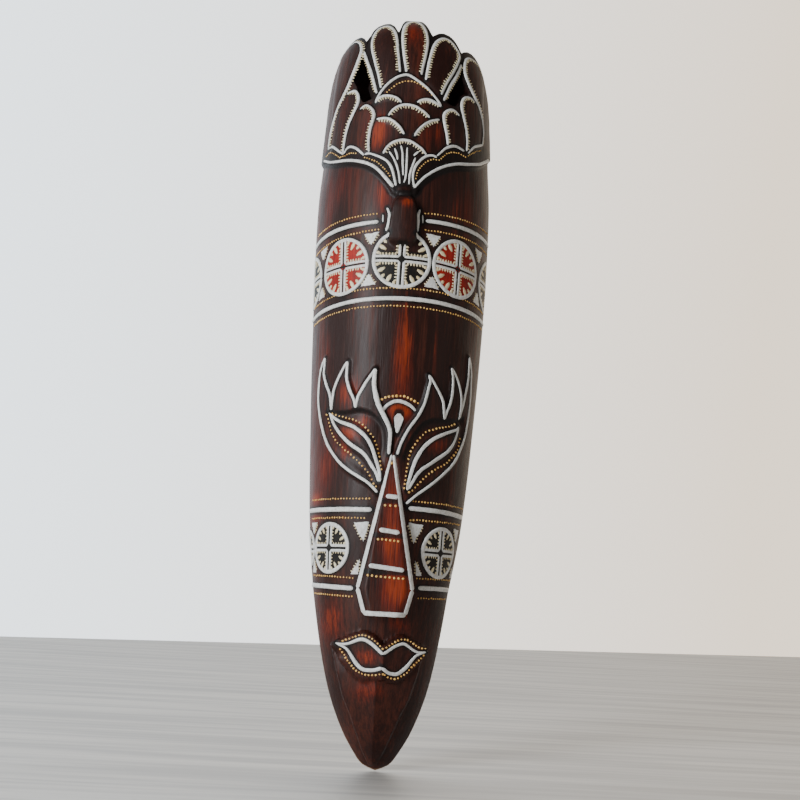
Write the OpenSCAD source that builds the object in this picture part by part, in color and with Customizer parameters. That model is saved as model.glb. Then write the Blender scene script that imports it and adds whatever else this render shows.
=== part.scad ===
// Long carved wall mask: one hollowed wooden block, raised paint trails laid on
// its face, and a small hanger let into the back. Heights are counted from the
// chin tip while the parts are drawn, and the whole is then set down so that the
// point where a wall nail holds the ring is the origin. The face looks along -Y.

/* [Mask block] */
// Height from the chin tip to the crest's highest petal
mask_h = 500; // [480:5:520]
// How far the centre of the round face lies behind the wall plane
axis_back = 12; // [10:0.5:14]
// Wall thickness of the hollowed block
wall = 10; // [8:0.5:12]
// Height of the hollow's lower end
hollow_low = 24; // [20:1:32]
// Height of the hollow's upper end
hollow_high = 398; // [380:1:400]

/* [Carved relief] */
// How far the crest stands above the forehead
crest_lift = 2.5; // [1.5:0.25:4]
// How far the flame horns stand above the cheeks
horn_lift = 2; // [1:0.25:3]
// Depth of the eye sockets below the horns
socket_depth = 3; // [2:0.25:4]
// Depth of the blind recesses beside the outer petals
recess_depth = 12; // [6:1:16]
// How far the nose stands out at its foot
nose_lift = 13; // [9:0.5:16]
// How far the lips stand out
lip_lift = 6; // [4:0.5:8]
// How far the forehead knob stands out
knob_lift = 7; // [5:0.5:9]

/* [Paint] */
// Width of the broad silver-white trails
trail_w = 2.4; // [1.8:0.1:3]
// Height of a trail above the wood
trail_h = 0.7; // [0.4:0.1:1]
// How deep a trail is keyed into the wood
trail_key = 0.4; // [0.3:0.05:0.6]
// Radius of a medallion's ring, to the middle of the trail
medal_r = 18; // [16:0.5:19]
// Radius of a raised paint dot
dot_r = 1.1; // [0.8:0.1:1.4]

/* [Hanger] */
// Height of the ring's hinge above the chin tip
hinge_z = 420; // [410:1:424]
// Depth of the pocket that holds the hanger
pocket_d = 6; // [5.5:0.25:8]
// Width of the pocket
pocket_w = 26; // [24:1:30]
// Thickness of the folded strap's sheet
sheet_t = 0.8; // [0.6:0.1:1]
// Width of the strap
strap_w = 9; // [8:0.5:10]
// Radius of the ring's straight bar, inside the strap's eye
bar_r = 1.05; // [0.95:0.05:1.15]
// Radius of the wire round the rest of the ring
wire_r = 1.0; // [0.8:0.05:1]
// Radial running clearance of the bar in the strap's eye
bar_play = 0.06; // [0.03:0.01:0.09]
// Radius of the ring's round end, to the middle of the wire
loop_r = 7.5; // [7:0.25:8]
// Length of the ring's straight sides
loop_leg = 9; // [8:0.5:10]
// Radius of the hanger screw's shank
screw_r = 1.4; // [1.2:0.1:1.6]
// Length of the hanger screw's shank
screw_l = 14; // [10:1:16]

/* [Hidden] */
$fn = 64;

hang_z = hinge_z + loop_leg + loop_r - wire_r;
eye_r = bar_r + bar_play;
knuckle_r = eye_r + sheet_t;
hinge_y = 0.1 + knuckle_r - pocket_d;
head_r = 2.8;
head_h = 1.4;
screw_z = hinge_z - 5.8;
leaf_end = hinge_z - 9.6;

// [height, half-width] of the outline at the wall plane, chin tip first
outline = [[0, 0], [3, 7.6], [9, 13], [24, 22], [47, 31], [75, 37.6], [112, 43.8],
           [155, 49.6], [222, 54.2], [275, 56.8], [330, 58.6], [370, 58.8], [400, 57],
           [425, 55.8], [450, 54.2], [470, 51], [484, 45.5], [494, 36], [500, 25]];
last = len(outline) - 1;

function slope(i) =
    let(a = outline[max(i - 1, 0)], b = outline[min(i + 1, last)])
    (b[1] - a[1]) / (b[0] - a[0]);
function station(z, i = 0) = i >= last - 1 || z < outline[i + 1][0] ? i : station(z, i + 1);
function half_w(z) =
    let(i = station(z), a = outline[i], b = outline[i + 1], d = b[0] - a[0],
        t = min(max((z - a[0]) / d, 0), 1), u = 1 - t)
    a[1] * u * u * (1 + 2 * t) + b[1] * t * t * (3 - 2 * t)
    + d * t * u * (u * slope(i) - t * slope(i + 1));

// Radius of the round face at a height, and a point on it: s is the distance
// round the face from the middle line, h the lift off the wood
function face_r(z) = sqrt(pow(half_w(z), 2) + axis_back * axis_back);
function on_face(s, z, h = 0) =
    let(r = face_r(z), a = s / r * 180 / PI)
    [(r + h) * sin(a), axis_back - (r + h) * cos(a), z];
function flat(p) = let(q = on_face(p[0], p[1])) [q[0], q[2]];

// Smooth curve through hand-placed points, n steps to a span
function spline(p, n = 3) =
    let(m = len(p) - 1)
    [for (i = [0 : m - 1], k = [0 : n - 1])
        let(t = k / n, a = p[max(i - 1, 0)], b = p[i], c = p[i + 1], d = p[min(i + 2, m)])
        0.5 * (2 * b + t * (c - a) + t * t * (2 * a - 5 * b + 4 * c - d)
               + t * t * t * (3 * b - a - 3 * c + d)),
     p[m]];
function arch(a, top, b, n = 8) =
    [for (k = [0 : n])
        let(t = k / n * 180, c = (a + b) / 2)
        c + (a - c) * cos(t) + (top - c) * sin(t)];

// ---- the wooden block ----

module face_solid(lift, low = 0, high = mask_h + 2) {
    steps = [for (i = [0 : last - 1], t = [0, 0.5])
                let(z = outline[i][0] * (1 - t) + outline[i + 1][0] * t)
                if (z > low && z < high) z];
    heights = concat([low], steps, [high]);
    translate([0, axis_back, 0])
        rotate_extrude($fn = 128)
            polygon(concat([[0, low]], [for (z = heights) [face_r(z) + lift, z]], [[0, high]]));
}

module through(depth = 90) rotate([90, 0, 0]) linear_extrude(depth) children();

module raised(points, lift, low, high) {
    intersection() {
        face_solid(lift, low, high);
        through() polygon([for (p = points) flat(p)]);
    }
}

// Everything outside the scalloped upper edge of the crest
module crest_waste() {
    translate([0, 1, 0])
        through(60)
            difference() {
                translate([-80, 460]) square([160, 60]);
                translate([-60, 440]) square([120, 28]);
                translate([-39, 463]) circle(r = 19);
                translate([-33, 455]) circle(r = 23.5);
                translate([-20, 477]) circle(r = 14);
                translate([0, 485]) circle(r = 15);
                translate([21, 466]) circle(r = 15.5);
                translate([39, 452]) circle(r = 21);
                translate([-16, 455]) square([32, 24]);
            }
}

// Smooth lower edge of the crest, left to right
scroll_edge = [[-84, 402], [-62, 395.5], [-46, 390.5], [-29, 385], [-16, 377.5], [-6, 364],
               [6, 364], [19, 380], [33, 387.5], [53, 393.5], [84, 404]];

module crest_block() {
    intersection() {
        face_solid(crest_lift, 360, mask_h + 3);
        through()
            polygon(concat([for (p = spline(scroll_edge, 2)) flat(p)],
                           [[75, 410], [75, mask_h + 10], [-75, mask_h + 10], [-75, 410]]));
    }
}

horn_left = [[-1, 193], [0, 206], [-3.5, 213], [-8, 221], [-11.5, 230], [-13, 246],
             [-19, 238], [-24, 229.5], [-25.5, 221], [-29, 228], [-32.5, 237], [-34, 252],
             [-38.5, 243], [-42.5, 235], [-45, 223], [-49.5, 231], [-54.5, 241], [-56, 257],
             [-60.5, 240], [-58.5, 222], [-50.5, 204], [-36.5, 188.5], [-18.5, 177.5],
             [-8, 168.5]];
horn_right = [[3.5, 193], [5, 201], [9.5, 209], [17, 220.5], [21, 231], [22.5, 244.5],
              [27.5, 238], [31.5, 232], [35, 218.5], [38, 226], [40.5, 237], [40, 252],
              [45.5, 245], [49.5, 234], [48.5, 221], [52.5, 230], [56, 242], [58.5, 260.5],
              [62.5, 247], [61.5, 227], [56, 207.5], [42, 188], [24.5, 174], [11, 165]];

module horns() {
    raised(horn_left, horn_lift, 162, 262);
    raised(horn_right, horn_lift, 160, 264);
}

// Leaf-shaped socket round each eye
socket_left = [[-46, 221], [-34, 219], [-22, 215], [-12, 207], [-5, 194], [-4, 180],
               [-9, 175], [-22, 188], [-33, 197], [-43, 209]];

module sockets() {
    for (side = [1, -1])
        difference() {
            through()
                polygon([for (p = spline(socket_left, 2)) flat([p[0] * side, p[1]])]);
            face_solid(horn_lift - socket_depth, 165, 230);
        }
}

// Eyeball leaf that stays proud of the socket's floor
eye_up = [[-43.5, 218.5], [-34, 213], [-23.5, 209], [-14, 200], [-9, 187], [-6.5, 179]];
eye_down = [[-6.5, 179], [-14, 188.5], [-22, 196], [-33.5, 204.5], [-43.5, 218.5]];

module eyes() {
    for (side = [1, -1])
        raised([for (p = concat(eye_up, [for (i = [1 : 3]) eye_down[i]])) [p[0] * side, p[1]]],
               0.6, 170, 225);
}

// Blind three-cornered recesses between the outer petals and the bars
module recesses() {
    for (side = [1, -1])
        intersection() {
            difference() {
                through()
                    polygon([for (p = [[-36.5, 463], [-25, 432], [-30, 429], [-38, 434],
                                       [-45, 445]]) flat([p[0] * side, p[1]])]);
                face_solid(-recess_depth, 420, 470);
            }
            translate([-60, -80, 422]) cube([120, 80, 46]);
        }
}

// Wedge nose: a narrow bridge that widens to a chamfered foot. Its front is flat
// across, and leans out from the bridge to the foot.
nose_top = 194;
nose_foot = 95;
nose_front_top = axis_back - face_r(nose_top) - 1.5;
nose_front_foot = axis_back - face_r(104) - nose_lift;
function nose_y(z) =
    nose_front_foot
    + (nose_front_top - nose_front_foot) * (z - nose_foot) / (nose_top - nose_foot);

module nose() {
    outline_pts = [[3, nose_top], [-1, nose_top], [-17.5, 111], [-12, nose_foot],
                   [12, nose_foot], [17.5, 111]];
    intersection() {
        through() polygon(outline_pts);
        translate([-30, 0, 0])
            rotate([90, 0, 90])
                linear_extrude(60)
                    polygon([[-15, nose_foot - 5], [nose_y(nose_foot - 5), nose_foot - 5],
                             [nose_y(nose_top + 5), nose_top + 5], [-15, nose_top + 5]]);
    }
}

// Two-lobed lips
lip_top = [[-25.5, 77], [-17, 79.5], [-11, 81], [-5.5, 78.5], [0.5, 73], [6, 77.5],
           [13, 80], [18.5, 77], [25.5, 74.5]];
lip_low = [[25.5, 74.5], [16, 65], [8.5, 61], [1, 64.5], [-5, 63], [-10, 62.5], [-16, 67],
           [-20.5, 73], [-25.5, 77]];

module lips() {
    scale_out = 1.12;
    raised([for (p = concat(lip_top, [for (i = [1 : 7]) lip_low[i]]))
                [p[0] * scale_out, 71 + (p[1] - 71) * scale_out]],
           lip_lift, 50, 92);
}

// Ridge down the middle of the chin
module chin() {
    hull() {
        translate([0, -12, 62]) rotate([0, 90, 0]) cylinder(r = 3, h = 44, center = true, $fn = 16);
        translate([0, -26, 56]) rotate([0, 90, 0]) cylinder(r = 4, h = 30, center = true, $fn = 16);
        translate([0, -8, 9]) sphere(r = 3.5, $fn = 16);
        translate([0, -3, 5]) sphere(r = 2.5, $fn = 16);
    }
}

// Square-shouldered knob under the fan
module knob() {
    y0 = axis_back - face_r(340);
    hull() {
        translate([-9.5, y0 - 1, 322]) cube([19, 4, 34]);
        translate([-7.5, y0 - knob_lift, 334]) cube([15, 4, 20]);
        translate([-5, y0 - 1, 360]) cube([10, 4, 4]);
    }
}

// Hollow in the back, with rounded ends
module hollow() {
    inner = [for (z = [hollow_low, hollow_low + 4, hollow_low + 12, 55, 80, 112, 155, 190,
                       222, 275, 330, 360, hollow_high - 14, hollow_high - 4, hollow_high])
                let(from_end = min(z - hollow_low, hollow_high - z),
                    pinch = from_end < 14 ? 1 - pow(1 - from_end / 14, 2) : 1)
                [sqrt(pow(half_w(z) - wall, 2) * pinch + axis_back * axis_back), z]];
    translate([0, axis_back, 0])
        rotate_extrude($fn = 128)
            polygon(concat([[0, hollow_low]], inner, [[0, hollow_high]]));
}

// Pocket for the hanger, open into the hollow below it
module pocket() {
    top = hinge_z + loop_leg + loop_r + wire_r + 3 - pocket_w / 2;
    translate([0, 1, 0])
        through(pocket_d + 1) {
            translate([-pocket_w / 2, hollow_high - 12]) square([pocket_w, top - hollow_high + 12]);
            translate([0, top]) circle(r = pocket_w / 2);
        }
}

module pilot_hole() {
    translate([0, 0, screw_z]) rotate([90, 0, 0]) cylinder(r = screw_r - 0.1, h = pocket_d + screw_l + 2);
}

module mask_body() {
    color([0.24, 0.1, 0.07])
        difference() {
            union() {
                face_solid(0);
                crest_block();
                horns();
                nose();
                lips();
                chin();
                knob();
            }
            translate([-100, 0, -10]) cube([200, 100, mask_h + 20]);
            hollow();
            pocket();
            crest_waste();
            difference() {
                sockets();
                eyes();
            }
            recesses();
            pilot_hole();
        }
}

// ---- raised paint ----

// Low ridged ribbon through ready-made rings of five points
module ribbon(rings, closed = false) {
    n = len(rings);
    verts = [for (r = rings) each r];
    spans = closed ? n : n - 1;
    walls = [for (i = [0 : spans - 1], k = [0 : 4])
                let(j = (i + 1) % n, l = (k + 1) % 5)
                each [[i * 5 + k, j * 5 + k, j * 5 + l], [i * 5 + k, j * 5 + l, i * 5 + l]]];
    ends = closed ? [] : [[0, 1, 2, 3, 4], [for (k = [4 : -1 : 0]) (n - 1) * 5 + k]];
    polyhedron(verts, concat(walls, ends));
}

// Cross-section of a trail: [share of the half-width, lift]
trail_section = [[-1, -trail_key], [-1, 0.3 * trail_h], [0, trail_h], [1, 0.3 * trail_h],
                 [1, -trail_key]];

// Places a flat design point on the round face, or on the nose's front
function place(s, z, h, on_nose) = on_nose ? [s, nose_y(z) - h, z] : on_face(s, z, h);

module trail(points, w = trail_w, lift = 0, closed = false, on_nose = false) {
    n = len(points);
    ribbon([for (i = [0 : n - 1])
        let(p = points[i],
            a = closed ? points[(i + n - 1) % n] : points[max(i - 1, 0)],
            b = closed ? points[(i + 1) % n] : points[min(i + 1, n - 1)],
            d = b - a,
            side = [d[1], -d[0]] / norm(d) * w / 2)
        [for (q = trail_section)
            place(p[0] + side[0] * q[0], p[1] + side[1] * q[0], lift + q[1], on_nose)]],
        closed);
}

// Six-sided dome of paint
module dot(s, z, on_nose = false) {
    base = [for (k = [0 : 5])
        place(s + dot_r * cos(60 * k), z + dot_r * sin(60 * k), -trail_key, on_nose)];
    polyhedron(concat(base, [place(s, z, dot_r * 0.8, on_nose)]),
               concat([[for (k = [0 : 5]) k]],
                      [for (k = [0 : 5]) [(k + 1) % 6, k, 6]]));
}

module silver_white() color([0.82, 0.82, 0.78]) children();

petal_paths = [
    [[-71, 409], [-69, 421], [-63, 429], [-55, 437], [-45, 448], [-39, 464], [-37.5, 475],
     [-41, 480], [-47, 478], [-54, 471]],
    [[-20, 437], [-25, 455], [-29, 472], [-27, 482], [-20, 486], [-13.5, 481], [-11, 470],
     [-8.5, 448]],
    [[-4, 449], [-7, 465], [-7.5, 478], [-5, 488], [0, 493], [5, 488], [8.5, 478],
     [8.5, 465], [6.5, 448]],
    [[11, 444], [14, 458], [15.5, 468], [20, 475.5], [27, 475], [32, 469], [29, 455],
     [21.5, 435]],
    [[64, 413], [65, 430], [60, 437], [52, 444.5], [45, 455], [41, 464], [44, 468.5],
     [51, 468], [58, 463], [63, 455]]];
bar_paths = [[[-34, 466], [-29, 451], [-23.5, 434.5]], [[36.5, 461], [31, 447], [25, 431.5]]];
leaf_paths = [
    [[-46, 437], [-42, 439.5], [-38, 437], [-36, 431], [-40.5, 423], [-45, 413], [-48, 401]],
    [[-34, 423.5], [-30.5, 425.5], [-26, 424], [-23.5, 419], [-25.5, 410], [-26.5, 395]],
    [[47, 437], [42.5, 439.5], [38, 434], [41, 424], [43, 414], [44, 404]],
    [[36.5, 423], [30, 425.5], [25, 421.5], [25.5, 410], [27, 401]]];
shell_paths = [
    spline([[-22.5, 430], [-14, 440.5], [-2, 445], [11, 440], [22, 430]], 2),
    [[-21, 426.5], [-17, 429.5], [-12.5, 430], [-8, 428], [-5, 425]],
    [[5.5, 425], [9, 427.5], [13, 428], [17, 426.5], [20.5, 426.5]],
    spline([[-13.5, 416.5], [-7.5, 421.5], [0, 423.5], [8, 421.5], [14, 416.5]], 2),
    [[-21, 415], [-15, 414.5], [-9.5, 411.5], [-5, 406.5], [-2.5, 402]],
    [[21, 416.5], [14.5, 413], [9, 408], [5.5, 402]],
    spline([[-16, 389.5], [-10, 395.5], [-2, 398], [6, 396], [12.5, 390]], 2)];
rib_paths = [[[-11.5, 389], [-7.2, 381.5], [-4.8, 370]], [[-7.6, 391.5], [-5.6, 386.5]],
             [[-4, 393], [-3, 382], [-2.4, 371]], [[0, 392], [0.2, 382], [0.4, 370]],
             [[5, 386], [3.6, 378], [3, 370]], [[8, 390], [5.6, 388]]];
scroll_paths = [
    spline([[-8.5, 372], [-11, 379.5], [-16, 385.5], [-22.5, 389], [-29, 389.5]], 2),
    [[-32, 390.5], [-36, 396], [-41, 398], [-46, 397], [-49, 394.5]],
    [[-52, 397], [-58, 401.5], [-65, 403], [-71, 405.5]],
    spline([[7, 372.5], [7.2, 380], [11, 386], [16, 389], [20, 389.5]], 2),
    [[23, 391.5], [27.5, 397], [34, 399.5], [41, 399.5]],
    [[44.5, 401], [50, 404], [57, 407.5], [66, 410]],
    spline([[-78, 400], [-62, 395.5], [-46, 390], [-29, 384], [-16, 376.5], [-9, 367.5]], 2),
    spline([[8, 367], [19, 378.5], [33, 386.5], [53, 392.5], [78, 402.5]], 2)];

module crest_petal_trails() {
    silver_white()
        for (p = concat(petal_paths, bar_paths)) trail(p, lift = crest_lift);
}

module crest_leaf_trails() silver_white() for (p = leaf_paths) trail(p, lift = crest_lift);

module crest_shell_trails() silver_white() for (p = shell_paths) trail(p, lift = crest_lift);

module crest_fan_trails() {
    silver_white()
        for (p = rib_paths) trail(p, w = 1.4, lift = crest_lift);
}

module crest_scroll_trails() {
    silver_white()
        for (p = scroll_paths) trail(p, w = 2, lift = crest_lift);
}

// Upright strokes each side of the knob
module knob_trails() {
    silver_white()
        for (side = [-1, 1]) {
            trail([[12 * side, 351], [12.8 * side, 343], [12 * side, 335]]);
            trail([[16 * side, 346], [16 * side, 341]], w = 1.4);
        }
}

// Ring of a band: z at the middle, with a rise toward the right
function ring(from, to, z, rise = 0) =
    let(n = max(2, ceil(abs(to - from) / 6)))
    [for (k = [0 : n]) let(s = from + (to - from) * k / n) [s, z + rise * s / 75]];

module upper_band_stripes() {
    silver_white() {
        trail(ring(-77, -20, 342, 2.5));
        trail(ring(20, 77, 342, 2.5));
        trail(ring(-77, 77, 290.5, 1.5));
    }
}

// Painted wheel: a ring with four broad arms
module medallion(s, z, r) {
    trail([for (k = [0 : 23]) [s + r * cos(15 * k), z + r * sin(15 * k)]], closed = true);
    for (k = [0 : 3]) {
        c = cos(90 * k);
        d = sin(90 * k);
        trail([[s + 2.2 * c, z + 2.2 * d], [s + (r / 2) * c, z + (r / 2) * d],
               [s + (r - 1.8) * c, z + (r - 1.8) * d]], w = 3.6);
    }
}

module upper_band_medallions() {
    silver_white() {
        for (s = [-39.5, 0.5, 40.5]) medallion(s, 315.5 + s / 25, medal_r);
        for (side = [-1, 1])
            trail([for (k = [0 : 11])
                      let(a = 101 + 14.4 * k)
                      [side * (80 + medal_r * cos(a)), 315.5 + side * 2.5 + medal_r * sin(a)]]);
    }
}

module horn_trails() {
    silver_white() {
        trail(horn_left, lift = horn_lift);
        trail(horn_right, lift = horn_lift);
    }
}

module eye_trails() {
    silver_white()
        for (side = [-1, 1])
            trail([for (p = concat(eye_up, [for (i = [1 : 3]) eye_down[i]]))
                      [-side * p[0], p[1]]], w = 2, lift = 0.6, closed = true);
}

module brow_drop_trails() {
    silver_white() {
        trail(arch([-4.5, 223], [1.9, 231], [14, 222], 6), w = 2);
        trail([[3.3, 208.5], [3.3, 213.5], [3.3, 218.5]], w = 6);
    }
}

module nose_outline_trail() {
    silver_white()
        trail([[-0.6, 189], [-8.3, 150], [-16.2, 111], [-11, 96.5], [11, 96.5], [16.2, 111],
               [9.3, 150], [2.6, 189]], w = 2, on_nose = true);
}

nose_rows = [[167, 3.6, 3], [146, 7.6, 6], [124, 11.8, 9]];

module nose_bar_trails() {
    silver_white()
        for (r = nose_rows)
            trail([[-r[1], r[0]], [0, r[0]], [r[1], r[0]]], w = 2.8, on_nose = true);
}

module nose_dots() {
    color([0.88, 0.72, 0.42])
        for (r = nose_rows, k = [0 : r[2] - 1])
            dot(-r[1] + 2 * r[1] * (k + 0.5) / r[2], r[0] - 6, on_nose = true);
}

module lip_trail() {
    silver_white()
        trail(concat(lip_top, [for (i = [1 : 7]) lip_low[i]]), w = 2.2, lift = lip_lift,
              closed = true);
}

module lower_band_stripes() {
    silver_white() {
        trail(ring(-61, -12.5, 159.5));
        trail(ring(13, 61, 160));
        trail(ring(-57, -21, 111));
        trail(ring(22, 55, 112.5));
    }
}

module lower_band_medallions() {
    silver_white()
        for (s = [-38, 37.5]) medallion(s, 135.2, medal_r * 0.86);
}

// ---- hanger on the back ----

// Strip folded round the ring's bar, both leaves under one screw
module hanger_strap() {
    color([0.72, 0.6, 0.3])
        difference() {
            translate([-strap_w / 2, 0, 0])
                rotate([90, 0, 90])
                    linear_extrude(strap_w)
                        difference() {
                            union() {
                                translate([hinge_y, hinge_z]) circle(r = knuckle_r);
                                translate([-pocket_d, leaf_end])
                                    square([2 * sheet_t, hinge_z - leaf_end - 0.6]);
                            }
                            translate([hinge_y, hinge_z]) circle(r = eye_r);
                        }
            translate([0, 0, screw_z])
                rotate([90, 0, 0])
                    cylinder(r = screw_r + 0.2, h = 2 * pocket_d + 4, center = true);
        }
}

// Ring with one straight side, drawn hanging down from the strap
module hanging_ring() {
    color([0.75, 0.62, 0.32])
        translate([0, hinge_y, hinge_z]) {
            rotate([0, 90, 0]) cylinder(r = bar_r, h = 2 * (loop_r + bar_r), center = true);
            for (side = [-1, 1])
                translate([side * loop_r, 0, -loop_leg]) cylinder(r = wire_r, h = loop_leg);
            translate([0, 0, -loop_leg])
                rotate([90, 0, 0])
                    rotate([0, 0, 180])
                        rotate_extrude(angle = 180) translate([loop_r, 0]) circle(r = wire_r);
        }
}

// Pan-headed wood screw with one slot
module hanger_screw() {
    floor_y = -pocket_d + 2 * sheet_t;
    color([0.6, 0.6, 0.58])
        difference() {
            translate([0, floor_y, screw_z])
                rotate([90, 0, 0]) {
                    cylinder(r = screw_r, h = screw_l + 2 * sheet_t);
                    translate([0, 0, -head_h]) cylinder(r = head_r, h = head_h);
                }
            translate([-head_r - 1, floor_y + 0.7, screw_z - 0.35])
                cube([2 * head_r + 2, head_h, 0.7]);
        }
}

module placed() translate([0, 0, -hang_z]) children();

placed() mask_body();
placed() crest_petal_trails();
placed() crest_leaf_trails();
placed() crest_shell_trails();
placed() crest_fan_trails();
placed() crest_scroll_trails();
placed() knob_trails();
placed() upper_band_stripes();
placed() upper_band_medallions();
placed() horn_trails();
placed() eye_trails();
placed() brow_drop_trails();
placed() nose_outline_trail();
placed() nose_bar_trails();
placed() nose_dots();
placed() lip_trail();
placed() lower_band_stripes();
placed() lower_band_medallions();
placed() hanger_strap();
placed() hanging_ring();
placed() hanger_screw();
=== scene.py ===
import bpy
import math
import numpy as np
from mathutils import Matrix, Vector, kdtree


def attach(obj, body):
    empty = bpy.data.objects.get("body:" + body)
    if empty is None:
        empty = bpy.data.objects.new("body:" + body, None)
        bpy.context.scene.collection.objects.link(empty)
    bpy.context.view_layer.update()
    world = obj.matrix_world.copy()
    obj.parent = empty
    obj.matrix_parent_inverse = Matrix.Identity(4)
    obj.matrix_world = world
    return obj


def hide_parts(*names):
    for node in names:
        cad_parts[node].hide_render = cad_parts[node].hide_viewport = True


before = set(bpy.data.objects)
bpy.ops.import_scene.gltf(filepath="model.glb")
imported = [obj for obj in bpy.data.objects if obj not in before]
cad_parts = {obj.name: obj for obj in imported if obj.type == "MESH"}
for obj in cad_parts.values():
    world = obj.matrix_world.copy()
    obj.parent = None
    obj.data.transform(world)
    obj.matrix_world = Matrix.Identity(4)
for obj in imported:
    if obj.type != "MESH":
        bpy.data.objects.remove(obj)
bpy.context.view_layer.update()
print("frame loaded:", len(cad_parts), "parts of the CAD model")

rng = np.random.default_rng(7)

# Everything on the face is drawn flat first: s is the distance round the face from its
# middle line, z the height above the chin tip, lift the height off the wood, all in mm.
faceShape = {
    "height": 500.0,
    "axisBehind": 12.0,      # centre of the round face, behind the wall plane
    "hangHeight": 435.5,     # the wall nail's point above the chin tip
    "lean": [[0, 0], [20, -0.4], [45, -1.0], [75, -1.7], [110, -2.4], [150, -1.5], [190, -0.9],
             [240, -0.4], [280, 0]],      # how far the lower face leans to one side
    "outline": [[0, 0], [3, 7.6], [9, 13], [24, 22], [47, 31], [75, 37.6], [112, 43.8],
                [155, 49.6], [222, 54.2], [275, 56.8], [330, 58.6], [370, 58.8], [400, 57],
                [425, 55.8], [450, 54.2], [470, 51], [484, 45.5], [494, 36], [500, 25]],
    "crestLift": 2.5,
    "hornLift": 2.0,
}
outlineZ, outlineW = np.array(faceShape["outline"], float).T
paddedZ, paddedW = np.pad(outlineZ, 1, "edge"), np.pad(outlineW, 1, "edge")
outlineSlope = (paddedW[2:] - paddedW[:-2]) / (paddedZ[2:] - paddedZ[:-2])
leanZ, leanX = np.array(faceShape["lean"], float).T


def halfWidth(z):
    z = np.clip(np.asarray(z, float), 0, faceShape["height"])
    i = np.clip(np.searchsorted(outlineZ, z, side="right") - 1, 0, len(outlineZ) - 2)
    d = outlineZ[i + 1] - outlineZ[i]
    t = (z - outlineZ[i]) / d
    u = 1 - t
    ends = outlineW[i] * u * u * (1 + 2 * t) + outlineW[i + 1] * t * t * (3 - 2 * t)
    return ends + d * t * u * (u * outlineSlope[i] - t * outlineSlope[i + 1])


def faceRadius(z):
    return np.sqrt(halfWidth(z) ** 2 + faceShape["axisBehind"] ** 2)


def sway(z):
    return np.interp(z, leanZ, leanX)


# Distance round the face from the middle line to the back edge
def sideReach(z):
    r = faceRadius(z)
    return r * np.arccos(faceShape["axisBehind"] / r)


def toFrame(x, y, z):
    return np.stack([x, y, np.asarray(z, float) - faceShape["hangHeight"]], -1) / 1000


def onFace(s, z, lift):
    r = faceRadius(z)
    a = (s - sway(z)) / r
    return toFrame((r + lift) * np.sin(a) + sway(z),
                   faceShape["axisBehind"] - (r + lift) * np.cos(a), z)


# Flat position of points already in the frame.
def fromFrame(co):
    x, y, z = co[:, 0] * 1000, co[:, 1] * 1000, co[:, 2] * 1000 + faceShape["hangHeight"]
    r = faceRadius(z)
    back = faceShape["axisBehind"] - y
    x = x - sway(z)
    return np.arctan2(x, back) * r + sway(z), z, np.hypot(x, back) - r


def smoothStep(v, low, high):
    t = np.clip((v - low) / (high - low), 0, 1)
    return t * t * (3 - 2 * t)


# Smooth line through given points.
def curveThrough(points, steps=6, closed=False):
    p = np.array(points, float)
    n = len(p)
    if n < 3:
        return np.array([p[0] * (1 - t) + p[-1] * t for t in np.linspace(0, 1, steps + 1)])
    out = []
    for i in range(n if closed else n - 1):
        if closed:
            a, b, c, d = p[(i - 1) % n], p[i], p[(i + 1) % n], p[(i + 2) % n]
        else:
            a, b, c, d = p[max(i - 1, 0)], p[i], p[i + 1], p[min(i + 2, n - 1)]
        for t in np.arange(steps) / steps:
            out.append(0.5 * (2 * b + t * (c - a) + t * t * (2 * a - 5 * b + 4 * c - d)
                              + t ** 3 * (3 * b - a - 3 * c + d)))
    if not closed:
        out.append(p[-1])
    return np.array(out)


# The same line with points a set distance apart, and its length.
def evenly(points, spacing, closed=False):
    p = np.array(points, float)
    if closed:
        p = np.vstack([p, p[:1]])
    along = np.concatenate([[0], np.cumsum(np.linalg.norm(np.diff(p, axis=0), axis=1))])
    n = max(2, int(round(along[-1] / spacing)))
    t = np.linspace(0, along[-1], n + 1)
    if closed:
        t = t[:-1]
    return np.stack([np.interp(t, along, p[:, k]) for k in range(p.shape[1])], 1), along[-1]


# Unit vectors to the right of a line's direction.
def sideOf(line):
    d = np.gradient(line[:, :2], axis=0)
    d /= np.maximum(np.linalg.norm(d, axis=1, keepdims=True), 1e-9)
    return np.stack([d[:, 1], -d[:, 0]], 1)


def lineDistance(s, z, line):
    best = np.full(s.shape, np.inf)
    for a, b in zip(line[:-1], line[1:]):
        d = b - a
        t = np.clip(((s - a[0]) * d[0] + (z - a[1]) * d[1]) / max(d @ d, 1e-9), 0, 1)
        best = np.minimum(best, (s - a[0] - t * d[0]) ** 2 + (z - a[1] - t * d[1]) ** 2)
    return np.sqrt(best)


# Distance inside a closed shape's edge, below zero outside it.
def edgeDistance(s, z, shape, reach=14):
    shape = np.array(shape, float)
    out = np.full(s.shape, -float(reach))
    near = ((s > shape[:, 0].min() - reach) & (s < shape[:, 0].max() + reach)
            & (z > shape[:, 1].min() - reach) & (z < shape[:, 1].max() + reach))
    if not near.any():
        return out
    sn, zn = s[near], z[near]
    ring = np.vstack([shape, shape[:1]])
    inside = np.zeros(sn.shape, bool)
    for a, b in zip(ring[:-1], ring[1:]):
        if a[1] != b[1]:
            crosses = (a[1] > zn) != (b[1] > zn)
            inside ^= crosses & (sn < (b[0] - a[0]) * (zn - a[1]) / (b[1] - a[1]) + a[0])
    d = lineDistance(sn, zn, ring)
    out[near] = np.maximum(np.where(inside, d, -d), -reach)
    return out


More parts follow.
